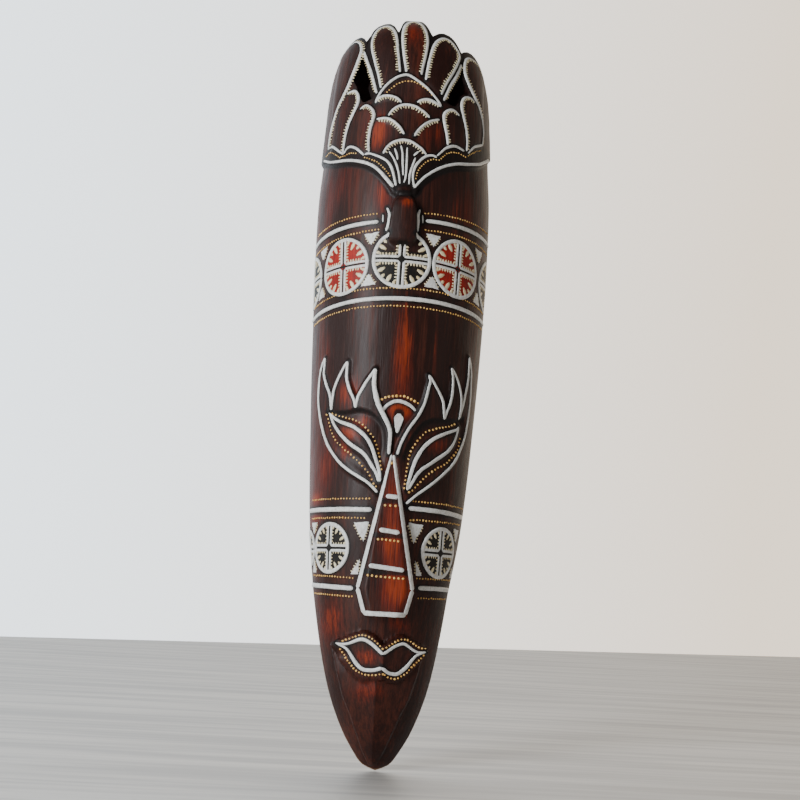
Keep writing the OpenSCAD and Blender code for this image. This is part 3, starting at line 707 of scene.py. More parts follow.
def blockPlace(u, v):
    share = crowded(u)
    columnAt = np.round((u + 1) / 2 * (block["columns"] - 1)).astype(int)
    tops = columnTops(crowded(np.arange(block["columns"]) / (block["columns"] - 1) * 2 - 1))
    z = np.interp((v + 1) / 2, np.linspace(0, 1, len(rowHeights)), rowHeights)
    foot = block["scallopFoot"]
    z = np.where(z > foot, foot + (z - foot) * (tops[columnAt] - foot)
                 / (faceShape["height"] - foot), z)
    r = faceRadius(z)
    a = share * np.arccos(np.clip(faceShape["axisBehind"] / r, -1, 1))
    s = a * r + sway(z)
    lift = reliefAt(s, z)
    lift *= smoothStep(np.abs(np.abs(share) - 1), 0, 0.02)
    lift *= smoothStep(z, 0.5, 5)
    co = onFace(s, z, lift)
    co[np.abs(u) > 0.9999, 1] = 0
    co[z < 0.01] = toFrame(sway(0.0), 0.0, 0.0)
    return co


maskBody = shapedGrid("maskBody", block["columns"] - 1, len(rowHeights) - 1, blockPlace)
closeBehind(maskBody, 0.0)
print("block shaped:", len(maskBody.data.vertices), "points")


def nosePlace(u, v):
    z = nose["foot"] + (v + 1) / 2 * (nose["top"] - nose["foot"])
    left, right = noseEdges(z)
    x = left + (u + 1) / 2 * (right - left)
    crown = 0.25 * softNoise(x * 2, z, 14, 12)
    return toFrame(x, noseFront(x, z) + 0.4 * np.abs(crown), z)


noseBlock = shapedGrid("noseBlock", 44, 90, nosePlace)
closeBehind(noseBlock, -0.015)
combine(maskBody, noseBlock, "UNION")
print("nose joined on")


# Hollow in the back, with the marks of the gouge
def hollowPlace(u, v):
    low, high = block["hollow"]
    z = low + (high - low) * (v + 1) / 2
    fromEnd = np.minimum(z - low, high - z)
    toEnd = np.minimum(fromEnd / block["hollowRound"], 1)
    pinch = 1 - (1 - toEnd) ** 2
    inner = np.maximum(halfWidth(z) - block["wall"], 0) * np.sqrt(pinch)
    r = np.sqrt(inner ** 2 + faceShape["axisBehind"] ** 2)
    a = u * np.arccos(np.clip(faceShape["axisBehind"] / r, -1, 1))
    deep = smoothStep(1 - np.abs(u), 0, 0.2) * smoothStep(fromEnd, 0, 12)
    lane = a * r / block["gougeWidth"]
    scoop = np.abs(np.sin(np.pi * lane)) * (0.6 + 0.4 * np.sin(z / 17 + np.floor(lane) * 2.4))
    bite = np.abs(np.sin(np.pi * (z / 34 + np.floor(lane) * 0.37)))
    r = r - block["gougeDepth"] * deep * (1.3 - scoop - 0.5 * bite)
    depth = faceShape["axisBehind"] - r * np.cos(a)
    return toFrame(r * np.sin(a) + sway(z), np.minimum(depth, 0), z)


hollowTool = shapedGrid("hollowTool", 56, 130, hollowPlace)
closeBehind(hollowTool, 0.012)


# Upright prism behind a flat outline, from one depth to another
def prism(name, outline, front, back):
    piece = thickOutline(name, toFrame(outline[:, 0], np.full(len(outline), front), outline[:, 1]),
                         (0, (back - front) / 1000, 0))
    fixNormals(piece)
    return piece


# Points round a centre on the middle line
def roundOutline(radius, centreZ, angles):
    return np.array([[radius * math.cos(t), centreZ + radius * math.sin(t)] for t in angles])


half = block["pocketWidth"] / 2
arch = roundOutline(half, block["pocketTop"], np.linspace(0, math.pi, 25))
pocketFoot = [[-half, block["pocketFoot"]], [half, block["pocketFoot"]]]
pocketTool = prism("pocketTool", np.vstack([arch, pocketFoot]), -block["pocketDepth"],
                   block["toolsPast"])
screwZ, screwRadius, screwDeep, screwFrom = block["screwHole"]
screwTool = prism("screwTool", roundOutline(screwRadius, screwZ, np.linspace(
    0, 2 * math.pi, 16, endpoint=False)), -screwDeep, -screwFrom)
recessTools = []
for shape in crest["recesses"]:
    line = curveThrough(shape, 3, closed=True)
    tool = thickOutline("recessTool", onFace(line[:, 0], line[:, 1], -block["recessDepth"]))
    co = vertexPlaces(tool)
    top = chosenVertices(tool)
    s, z, lift = fromFrame(co[top])
    co[top] = onFace(s, z, lift + block["recessDepth"] + 6)
    co[~top] += (co[~top].mean(0) - co[~top]) * 0.12      # the floor is smaller than the mouth
    placeVertices(tool, co)
    fixNormals(tool)
    recessTools.append(tool)
pick(hollowTool, pocketTool, screwTool, *recessTools)
bpy.ops.object.join()
combine(maskBody, hollowTool, "DIFFERENCE")
print("hollow, pocket and recesses cut:", len(maskBody.data.polygons), "faces")
pick(maskBody)
bpy.ops.object.shade_smooth_by_angle(angle=math.radians(42))


# Raised paint lines

def emptyCurve(name):
    deselectAll()
    bpy.ops.curve.primitive_nurbs_path_add()
    piece = named(name)
    piece.data.splines.clear()
    return piece


def addLine(piece, points, closed):
    spline = piece.data.splines.new("POLY")
    spline.points.add(len(points) - 1)
    for point, (x, y) in zip(spline.points, points):
        point.co = (x, y, 0, 1)
    spline.use_cyclic_u = closed
    return spline


# Cross-section of a paint line, one unit wide and high, with a foot in the wood
def brushProfile():
    profile = emptyCurve("brushProfile")
    arc = [[-0.5 * math.cos(t), math.sin(t) ** 0.8] for t in np.linspace(0, math.pi, 8)]
    addLine(profile, [[-0.48, -1]] + arc + [[0.48, -1]], True)
    profile.data.dimensions = "2D"
    profile.data.fill_mode = "NONE"
    return profile


# Width along a line: a list of widths, a small tremble, and rounded ends
def brushWidths(line, length, widths, closed):
    t = np.linspace(0, 1, len(line))
    w = np.interp(t, np.linspace(0, 1, len(widths)), widths)
    tremble = np.convolve(rng.normal(0, 1, len(line) + 6), np.ones(5) / 5, "same")[3:-3]
    w = w * (1 + 0.07 * tremble)
    if not closed:
        fromEnd = np.minimum(t, 1 - t) * length
        w = w * np.sqrt(np.clip((fromEnd + 0.18) / (0.45 * w), 0.12, 1))
    return w


def wrapOnFace(co):
    s, z, h = co[:, 0], co[:, 1], co[:, 2]
    co = onFace(s, z, reliefAt(s, z) + h)
    co[:, 1] = np.minimum(co[:, 1], -0.0002)      # no paint on the wall plane or behind it
    return co


def wrapOnNose(co):
    x, z, h = co[:, 0], co[:, 1], co[:, 2]
    return toFrame(x, noseFront(x, z) - h, z)


paint = {"height": 0.55, "key": 0.5, "spacing": 0.9}


# lines is a list of [points, widths, closed]; the whole list becomes one piece.
def paintLines(name, lines, wrap=wrapOnFace, height=paint["height"]):
    profile = brushProfile()
    piece = emptyCurve(name)
    piece.data.dimensions = "3D"
    piece.data.twist_mode = "Z_UP"
    piece.data.bevel_mode = "OBJECT"
    piece.data.bevel_object = profile
    piece.data.use_fill_caps = True
    for points, widths, closed in lines:
        line, length = evenly(points, paint["spacing"], closed)
        spline = addLine(piece, line[:, :2], closed)
        for point, radius in zip(spline.points, brushWidths(line, length, widths, closed)):
            point.radius = radius
    bpy.ops.object.convert(target="MESH")
    bpy.data.objects.remove(profile, do_unlink=True)
    co = vertexPlaces(piece)
    co[:, 2] = np.where(co[:, 2] > 0, np.minimum(co[:, 2] / 2, 1.2) * height, -paint["key"])
    placeVertices(piece, wrap(co))
    fixNormals(piece)
    bpy.ops.object.shade_smooth_by_angle(angle=math.radians(60))
    return piece


allStrokes = []           # every painted line, for the dark margins beside it


def stroke(points, widths):
    return [curveThrough(points, 4), widths, False]


def faceLines(name, lines, height=paint["height"]):
    for line, widths, closed in lines:
        allStrokes.append((evenly(line, 0.7, closed)[0], float(np.mean(widths))))
    return paintLines(name, lines, wrapOnFace, height)


petalTrails = [stroke(p, [1.5, 1.8, 2.0, 1.8, 1.5]) for p in crest["petals"].values()]
petalTrails += [stroke(p, [1.7, 2.2, 1.7]) for p in crest["bars"]]
crestPetalPaint = faceLines("crestPetalPaint", petalTrails)
crestLeafPaint = faceLines("crestLeafPaint",
                           [stroke(p, [1.5, 1.9, 1.7, 1.4]) for p in crest["leaves"]])
crestShellPaint = faceLines("crestShellPaint",
                            [stroke(p, [1.4, 1.8, 1.8, 1.4]) for p in crest["scales"]])
crestFanPaint = faceLines("crestFanPaint",
                          [stroke(p, [1.1, 1.5, 1.0]) for p in crest["ribs"]])
crestScrollPaint = faceLines("crestScrollPaint",
                             [stroke(p, [1.2, 1.8, 1.6]) for p in crest["scrolls"][:6]]
                             + [stroke(p, [1.6, 2.1, 2.3]) for p in crest["scrolls"][6:]])

knob = {"strokes": [[[-10.7, 351], [-9.0, 346.4], [-9.3, 341.2], [-10.6, 335.6]],
                    [[10.4, 351], [9.4, 346.7], [9.6, 341.6], [9.2, 335.8]]],
        "thin": [[[-13.2, 346.4], [-13.1, 341.6]], [[12.3, 347.4], [12.7, 342.2]]]}
knobPaint = faceLines("knobPaint", [stroke(p, [1.5, 2.2, 1.6]) for p in knob["strokes"]]
                      + [stroke(p, [0.8, 1.0, 0.8]) for p in knob["thin"]])

hornPaint = faceLines("hornPaint",
                      [[run, [2.0, 2.6, 3.4, 2.2] if k == 0 else [1.7, 2.0, 1.8], False]
                       for k, run in enumerate(hornStrokes["Left"])]
                      + [[run, [1.6, 1.9, 1.6], False] for run in hornStrokes["Right"]])
eyePaint = faceLines("eyePaint",
                     [stroke(eyes[k][lid], [1.5, 2.3, 2.3, 1.8])
                      for k in ("left", "right") for lid in ("upper", "lower")])
browPaint = faceLines("browPaint",
                      [stroke(brow["arc"], [1.9, 2.4, 1.9]),
                       [evenly(brow["drop"], 0.7)[0], [1.5, 3.2, 4.9, 6.1, 5.9], False]])
lipPaint = faceLines("lipPaint",
                     [stroke(lips[k], w) for k, w in (("upper", [1.1, 2.3, 1.9]),
                                                      ("upperRight", [1.8, 1.9, 1.2]),
                                                      ("lower", [1.2, 2.5, 2.2]),
                                                      ("lowerRight", [2.1, 2.2, 1.2]))])
print("face lines painted")

noseLeft, noseRight = noseEdges(np.array([nose["foot"] + 1.2, nose["shoulder"], nose["top"] - 1]))
noseLines = [[np.array(ends), widths, False] for ends, widths in (
    ([[0.2, 192.6], [noseLeft[1] + 1.2, 111.2]], [1.9, 2.3, 2.3]),
    ([[noseLeft[1] + 1.2, 111.2], [noseLeft[0] + 1.4, 96.8]], [2.5, 2.6]),
    ([[noseLeft[0] + 1.0, 96.8], [noseRight[0] - 1.0, 96.6]], [2.8, 3.0, 2.8]),
    ([[noseRight[0] - 1.4, 96.8], [noseRight[1] - 1.3, 111.2]], [2.6, 2.5]),
    ([[noseRight[1] - 1.3, 111.2], [1.7, 192.6]], [2.5, 2.5, 2.3]))]
noseOutlinePaint = paintLines("noseOutlinePaint", noseLines, wrapOnNose, 0.6)
noseBars = []
for z, low, high, tilt, _ in nose["bars"]:
    noseBars.append([np.array([[low, z - tilt], [high, z + tilt]]), [2.9, 2.8, 3.0], False])
noseBarPaint = paintLines("noseBarPaint", noseBars, wrapOnNose, 0.6)


# Painted bands

bands = {
    "upper": {
        "stripes": [
            [
                [[-80, 336.8], [-60, 339.3], [-38, 340.9], [-16, 341.9]],
                [[14.6, 344], [38, 344.9], [60, 345.2], [81.5, 344.7]],
            ],
            [
                [[-80, 285.8], [-50, 288.8], [-22, 290.9], [2.6, 291.7], [28, 291.7], [52, 291],
                    [80, 289.4]],
            ],
        ],
        "dots": [
            [[-74, 343.3], [-45, 346], [-17.4, 347.4]],
            [[14, 349], [45, 350.8], [79, 352]],
            [[-76, 330.4], [-60, 332.4], [-40, 334.8], [-15.6, 336.8]],
            [[14.6, 338], [40, 338.6], [60, 338.4], [78, 337.6]],
            [[-75, 293.2], [-45, 296], [-15, 298], [2.6, 298.4], [28, 298.4], [55, 297.4],
                [76, 296]],
            [[-73.5, 281.6], [-45, 284.4], [-20, 286.2], [2.6, 286.8], [28, 286.8], [52, 286.2],
                [74, 285]],
        ],
    },
    "lower": {
        "stripes": [
            [
                [[-69, 158.4], [-40, 158.6], [-10.2, 158.8]],
                [[12.6, 161.0], [38, 160.4], [64, 159]],
            ],
            [
                [[-62, 111.5], [-40, 111.2], [-19.6, 110.8]],
                [[22, 113], [40, 112.9], [55.5, 112.4]],
            ],
        ],
        "dots": [
            [[-61.5, 165.0], [-38, 165.2], [-12, 165.5]],
            [[15, 165.4], [38, 165.2], [62, 164.6]],
            [[-61, 153.3], [-36, 153.5], [-14.6, 153.6]],
            [[14.2, 153.9], [38, 154.2], [60, 154.2]],
            [[-57.5, 117.6], [-38, 117.4], [-20, 117]],
            [[20.6, 118.8], [38, 118.9], [55, 118.6]],
            [[-56, 106.4], [-38, 106.2], [-20, 105.8]],
            [[22.5, 106.8], [38, 106.9], [50, 106.6]],
        ],
    },
}
upperStripePaint = faceLines("upperStripePaint",
                             [stroke(p, [2.5, 2.7, 2.7, 2.5])
                              for row in bands["upper"]["stripes"] for p in row])
lowerStripePaint = faceLines("lowerStripePaint",
                             [stroke(p, [2.8, 3.0, 2.9])
                              for row in bands["lower"]["stripes"] for p in row])

# Round medallions: centre, radius, lean of the cross in degrees, red or black field
medallions = {
    "upper": [[-81.3, 311.3, 18.6, 2, 0], [-40.1, 314.2, 19.3, 2, 1], [0.3, 317.3, 19.4, -1, 0],
              [39.8, 316.5, 19.6, -2, 1], [81.6, 314.5, 18.6, -2, 0]],
    "lower": [[-39.4, 134.9, 16.0, 0, 0], [38.6, 135.0, 16.2, 0, 0],
              [-68.5, 134, 13, 0, 0]],
    "ring": 2.5, "arm": 1.8, "gap": 1.5, "leaf": 5.8, "discRings": 9,
}


def turned(points, centre, degrees):
    t = math.radians(degrees)
    p = np.array(points, float)
    return np.stack([centre[0] + p[:, 0] * math.cos(t) - p[:, 1] * math.sin(t),
                     centre[1] + p[:, 0] * math.sin(t) + p[:, 1] * math.cos(t)], 1)


# Part of a line that lies on the front or side of the block
def onBlock(line, margin=1.5):
    room = sideReach(line[:, 1]) - margin
    return line[np.abs(line[:, 0] - sway(line[:, 1])) < room]


# Under the knob the centre medallion is left bare
def clearOfKnob(line):
    return line[~((np.abs(line[:, 0] - 0.2) < 9.2) & (line[:, 1] > 326.5))]


def medallionLines(s, z, r, lean):
    lines = []
    middle = abs(s) < 5            # the middle ring is open at the top, under the knob
    start, end, steps = (64, -242, 62) if middle else (0, 360, 73)
    around = np.linspace(math.radians(start), math.radians(end), steps)
    ring = np.stack([s + (r - 1.3) * np.cos(around), z + (r - 1.3) * np.sin(around)], 1)
    if not middle:
        ring = onBlock(ring)
    if len(ring) > 4:
        lines.append([ring, [medallions["ring"]], len(ring) == 73])
    near = medallions["gap"] + 0.2
    reach = math.sqrt((r - 1.6) ** 2 - medallions["gap"] ** 2)
    for offset in (-medallions["gap"], medallions["gap"]):
        for ends in ([[offset, -reach], [offset, -near]], [[offset, near], [offset, reach]],
                     [[-reach, offset], [-near, offset]], [[near, offset], [reach, offset]]):
            line = clearOfKnob(onBlock(evenly(turned(ends, (s, z), lean), 0.8)[0]))
            if len(line) > 3:
                lines.append([line, [medallions["arm"]], False])
    return lines


def medallionPaint(name, group):
    lines = []
    for row in medallions[group]:
        lines += medallionLines(*row[:4])
    return faceLines(name, [[line[:-1] if closed else line, w, closed]
                            for line, w, closed in lines], 0.5)


upperMedallionPaint = medallionPaint("upperMedallionPaint", "upper")
lowerMedallionPaint = medallionPaint("lowerMedallionPaint", "lower")
print("bands painted")


# Teeth, leaves and dots of paint: each shape modelled once, then set in place

def shapeOnce(name, makeShape):
    deselectAll()
    makeShape()
    piece = named(name)
    editAll()
    bpy.ops.mesh.quads_convert_to_tris()
    endEdit()
    co = vertexPlaces(piece).copy()
    faces = np.array([p.vertices[:] for p in piece.data.polygons])
    bpy.data.objects.remove(piece, do_unlink=True)
    return co, faces


# Ball of radius 1 with its underside cut off flat
def cutBall(segments, rings, cutZ):
    bpy.ops.mesh.primitive_uv_sphere_add(segments=segments, ring_count=rings, radius=1)
    piece = bpy.context.object
    editAll()
    bpy.ops.mesh.bisect(plane_co=(0, 0, cutZ), plane_no=(0, 0, 1), clear_inner=True,
                        use_fill=True)
    endEdit()
    return piece, vertexPlaces(piece)


def makeDot():
    piece, co = cutBall(8, 6, -0.35)
    co[:, 2] = np.where(co[:, 2] > 0, co[:, 2] ** 0.8 * 0.62, co[:, 2])
    placeVertices(piece, co)


# Teardrop lying along +X, root at the origin, one unit long
def makeTooth():
    piece, co = cutBall(6, 5, -0.3)
    x = (co[:, 0] + 1) / 2
    co[:, 1] *= (1.0 - 0.45 * x) * 0.62
    co[:, 2] *= 0.6 - 0.2 * x
    co[:, 0] = x * 1.15 - 0.15
    placeVertices(piece, co)


dotShape = shapeOnce("dotShape", makeDot)
toothShape = shapeOnce("toothShape", makeTooth)


# places: rows of s, z, direction in radians, length, width, height
def stamp(name, shape, places, wrap=wrapOnFace):
    co, faces = shape
    places = np.array(places, float)
    n = len(places)
    s, z, turn, length, width, height = places.T
    x, y, h = co[:, 0][None], co[:, 1][None], co[:, 2][None]
    c, d = np.cos(turn)[:, None], np.sin(turn)[:, None]
    flat = np.stack([s[:, None] + x * length[:, None] * c - y * width[:, None] * d,
                     z[:, None] + x * length[:, None] * d + y * width[:, None] * c,
                     h * height[:, None]], -1).reshape(-1, 3)
    allFaces = (faces[None] + (np.arange(n) * len(co))[:, None, None]).reshape(-1, faces.shape[1])
    mesh = bpy.data.meshes.new(name)
    mesh.from_pydata(wrap(flat).tolist(), [], allFaces.tolist())
    piece = bpy.data.objects.new(name, mesh)
    bpy.context.scene.collection.objects.link(piece)
    fixNormals(piece)
    bpy.ops.object.shade_smooth()
    return piece


# radius and spacing of the dots in each place
dots = {"crest": [0.50, 1.95], "eyes": [0.62, 2.6], "brow": [0.86, 2.5], "lips": [0.60, 2.0],
        "bands": [0.57, 2.15]}


def dotRow(points, kind):
    size, spacing = dots[kind]
    out = []
    for s, z in onBlock(evenly(curveThrough(points, 6), spacing)[0], 1.0):
        k = size * (1 + 0.10 * rng.normal())
        out.append([s + 0.06 * rng.normal(), z + 0.10 * rng.normal(), rng.uniform(0, 6.28),
                    k * rng.uniform(0.92, 1.12), k * rng.uniform(0.92, 1.08), k])
    return out


def teethAlong(line, side, spacing=2.0, length=2.2, width=1.15, inset=0.35):
    line = evenly(line, spacing)[0]
    out = []
    for (s, z), (ns, nz) in list(zip(line, sideOf(line) * side))[1:-1]:
        out.append([s + ns * inset, z + nz * inset, math.atan2(nz, ns) + 0.12 * rng.normal(),
                    length * (1 + 0.14 * rng.normal()), width * (1 + 0.1 * rng.normal()), 0.8])
    return out


crestDots = [dot for row in crest["dotRows"] for dot in dotRow(row, "crest")]
crestDotPaint = stamp("crestDotPaint", dotShape, crestDots)

crestTeeth = []
for lines, sides, spacing, length in (
        (list(crest["petals"].values()), (1, 1, 1, 1, 1), 2.0, 2.2),
        (crest["bars"], (1, -1), 2.0, 1.9),
        (crest["leaves"], (1, 1, -1, -1), 2.0, 2.1),
        (crest["scales"][1:], (1, 1, 1, 1, 1, 1), 1.95, 2.2)):
    for line, side in zip(lines, sides):
        crestTeeth += teethAlong(curveThrough(line, 4), side, spacing, length)
crestToothPaint = stamp("crestToothPaint", toothShape, crestTeeth)

eyeDots = [dot for row in eyes["dotRows"] for dot in dotRow(row, "eyes")]
eyeDots += dotRow(brow["dots"], "brow")
lipDots = [dot for row in lips["dotRows"] for dot in dotRow(row, "lips")]
eyeDotPaint = stamp("eyeDotPaint", dotShape, eyeDots)
lipDotPaint = stamp("lipDotPaint", dotShape, lipDots)

bandDots = {group: [dot for row in bands[group]["dots"] for dot in dotRow(row, "bands")]
            for group in ("upper", "lower")}
upperDotPaint = stamp("upperDotPaint", dotShape, bandDots["upper"])
lowerDotPaint = stamp("lowerDotPaint", dotShape, bandDots["lower"])

noseDots = []
for z, low, high, _, count in nose["bars"]:
    for x in np.linspace(low - 0.3, high - (1.2 if count == 3 else 0.4), count):
        noseDots.append([x, z - 5.4 - 0.05 * x + 0.1 * rng.normal(), rng.uniform(0, 6), 0.80,
                         0.76, 0.85])
noseDots.append([0.6, 187.6, 0, 0.9, 0.9, 0.9])
noseDotPaint = stamp("noseDotPaint", dotShape, noseDots, wrapOnNose)


def medallionMarks(s, z, r, lean):
    marks, leaves = [], []
    inner = medallions["gap"] + medallions["arm"] / 2
    scale = (r / 19) ** 1.6
    for quarter in range(4):
        turnBy = quarter * 90 + lean
        for along in np.arange(inner + 1.7, r - 3.6, 1.95):
            for a, b, way in ((inner - 0.3, along, 0), (along, inner - 0.3, 90)):
                p = turned([[a, b]], (s, z), turnBy)[0]
                marks.append([p[0], p[1], math.radians(way + turnBy) + 0.1 * rng.normal(),
                              2.1 * scale, 1.4 * scale, 0.8])
        for degrees in (14, 30, 45, 60, 76):      # two long leaves with short teeth between
            t = math.radians(degrees)
            reach = r - 2.2
            p = turned([[reach * math.cos(t), reach * math.sin(t)]], (s, z), turnBy)[0]
            isLeaf = degrees in (30, 60)
            length, width = (medallions["leaf"], 2.9) if isLeaf else (3.0, 2.3)
            (leaves if isLeaf else marks).append([p[0], p[1], math.radians(degrees + turnBy + 180),
                                                  length * scale, width * scale, 0.8])
    return [m for m in marks + leaves if len(clearOfKnob(onBlock(np.array([m[:2]]))))]


for group in ("upper", "lower"):
    stamp(group + "MedallionTeeth", toothShape,
          [mark for row in medallions[group] for mark in medallionMarks(*row[:4])])
print("dots and teeth set:", len(crestDots) + len(crestTeeth), "on the crest")


def joinParts(name, parts, merge=None):
    pick(*parts)
    bpy.ops.object.join()
    fixNormals(parts[0], merge)
    parts[0].name = name


# Flat coat of black or red inside each medallion
def fieldDisc(name, group, colour):
    parts = []
    for s, z, r, _, red in medallions[group]:
        if red != colour:
            continue
        deselectAll()
        bpy.ops.mesh.primitive_circle_add(vertices=64, radius=1, fill_type="NOTHING")
        piece = named(name)
        editAll()
        for k in range(medallions["discRings"] - 1, 0, -1):
            bpy.ops.mesh.extrude_edges_move()
            bpy.ops.transform.resize(value=(k / (k + 1),) * 3)
        bpy.ops.mesh.edge_face_add()
        bpy.ops.mesh.select_all(action="SELECT")
        bpy.ops.mesh.extrude_region_move(TRANSFORM_OT_translate={"value": (0, 0, 1)})
        endEdit()
        co = vertexPlaces(piece)
        room = sideReach(z) - 0.6
        flat = np.stack([np.clip(s + co[:, 0] * r * 0.97, -room, room), z + co[:, 1] * r * 0.97,
                         np.where(co[:, 2] > 0.5, 0.12, -0.3)], 1)
        underKnob = (np.abs(flat[:, 0] - 0.2) < 12) & (flat[:, 1] > 323)
        flat[underKnob, 2] -= 0.5 + knobRelief(flat[underKnob, 0], flat[underKnob, 1])
        placeVertices(piece, wrapOnFace(flat))
        parts.append(piece)
    joinParts(name, parts, 0.00001)
    bpy.ops.object.shade_smooth()
    return parts[0]


# Dark line down the middle of each red cross
crossGaps = []
for s, z, r, lean, red in medallions["upper"]:
    if red:
        for ends in ([[0, 1.4 - r], [0, r - 1.4]], [[1.4 - r, 0], [r - 1.4, 0]]):
            crossGaps.append([turned(ends, (s, z), lean), [1.5], False])
crossGapPaint = paintLines("crossGapPaint", crossGaps, wrapOnFace, 0.24)
blackFields = fieldDisc("blackFields", "upper", 0)
redFields = fieldDisc("redFields", "upper", 1)
lowerFields = fieldDisc("lowerFields", "lower", 0)


# Three-cornered patches of white between the medallions: flat edge first, then the point
patches = {
    "upper": [[-25.2, 334.0, -15.2, 334.8, -19.8, 326.8], [15.2, 335.6, 25.2, 335.2, 20.6, 327.6],
        [-66, 329.6, -57, 331.4, -61.2, 323], [56.6, 335.6, 66, 334.8, 61.6, 326.6],
        [-15.6, 300.4, -25.4, 299.6, -20.4, 307.4], [25.4, 300.0, 15.6, 300.8, 20.4, 308.2],
        [-57.4, 297.6, -66, 296.4, -61.6, 304.6], [65.4, 298.2, 56.6, 299.4, 61.4, 306.6]],
    "lower": [[-21.2, 150.8, -11.4, 151.2, -14.6, 139.4], [12.8, 152.2, 23.0, 151.2, 16.8, 139.6],
        [-16.6, 119.6, -21.4, 119.2, -16.2, 128.8], [23.6, 120.4, 19.6, 120.2, 18.8, 129.4],
        [-60.4, 150.6, -53, 150.8, -57, 143.6], [51.4, 151.0, 58.4, 150.4, 55.4, 142.8],
        [-53, 119.6, -58, 119.4, -56, 127.6], [57.4, 120, 52.6, 120.4, 55.6, 127.4]],
}


def cornersOf(patch):
    return np.array(patch, float).reshape(3, 2)


# Twice the area, above zero where the points run anticlockwise
def turnOf(points):
    s, z = points.T
    return np.sum(s * np.roll(z, -1) - np.roll(s, -1) * z)


def patchRim(patch):
    a, b, c = cornersOf(patch)
    rim = []
    for ends in ((a, b), (b, c), (c, a)):
        rim += [point + 0.16 * rng.normal(size=2) for point in evenly(ends, 1.5)[0][:-1]]
    return np.array(rim)


def paintPatches(name, group):
    parts = []
    for patch in patches[group]:
        rim = patchRim(patch)
        room = sideReach(rim[:, 1]) - 1
        rim[:, 0] = np.clip(rim[:, 0], -room, room)
        deselectAll()
        bpy.ops.mesh.primitive_circle_add(vertices=len(rim), radius=1, fill_type="TRIFAN")
        piece = named(name)
        co = vertexPlaces(piece)
        centre = rim.mean(0)
        flat = np.zeros((len(co), 3))
        flat[:, :2] = centre
        edge = np.hypot(co[:, 0], co[:, 1]) > 0.5
        order = np.argsort(np.mod(np.arctan2(co[edge, 1], co[edge, 0]) - math.pi / 2, 2 * math.pi))
        places = np.zeros((edge.sum(), 2))
        places[order] = rim if turnOf(rim) > 0 else rim[::-1]
        flat[edge, :2] = places
        flat[:, 2] = -0.35
        placeVertices(piece, flat)
        editAll()
        bpy.ops.mesh.subdivide(number_cuts=1)
        bpy.ops.mesh.select_all(action="SELECT")
        bpy.ops.mesh.extrude_region_move(TRANSFORM_OT_translate={"value": (0, 0, 0.7)})
        endEdit()
        co = vertexPlaces(piece)
        fromMiddle = np.linalg.norm(co[:, :2] - centre, axis=1)
        co[:, 2] = np.where(co[:, 2] > 0, 0.32 + 0.2 * smoothStep(fromMiddle, 8, 1), co[:, 2])
        placeVertices(piece, wrapOnFace(co))
        parts.append(piece)
    joinParts(name, parts)
    return parts[0]


upperPatches = paintPatches("upperPatches", "upper")
lowerPatches = paintPatches("lowerPatches", "lower")
patchTeeth = []
for patch in patches["upper"] + patches["lower"]:
    a, b, c = cornersOf(patch)
    outward = 1 if turnOf(cornersOf(patch)) > 0 else -1
    for ends in ((b, c), (c, a)):
        patchTeeth += teethAlong(ends, outward, 1.8, 1.5, 1.2, -0.2)
patchTeeth = [m for m in patchTeeth if len(onBlock(np.array([m[:2]])))]
patchToothPaint = stamp("patchToothPaint", toothShape, patchTeeth)
print("fields and patches laid")


# Finishes

class Wire:
    # One socket or number, so that shader maths can be written as an expression
    def __init__(self, sheet, socket):
        self.sheet = sheet
        self.socket = socket

    def maths(self, operation, a, b):
        node = self.sheet.nodes.new("ShaderNodeMath")
        node.operation = operation
        for slotAt, value in enumerate((a, b)):
            if isinstance(value, Wire):
                self.sheet.links.new(value.socket, node.inputs[slotAt])
            elif value is not None:
                node.inputs[slotAt].default_value = value
        return Wire(self.sheet, node.outputs[0])

    def __add__(self, other):
        return self.maths("ADD", self, other)

    __radd__ = __add__

    def __mul__(self, other):
        return self.maths("MULTIPLY", self, other)

    __rmul__ = __mul__

    def __sub__(self, other):
        return self.maths("SUBTRACT", self, other)

    def __rsub__(self, other):
        return self.maths("SUBTRACT", other, self)

    def highest(self, other):
        return self.maths("MAXIMUM", self, other)


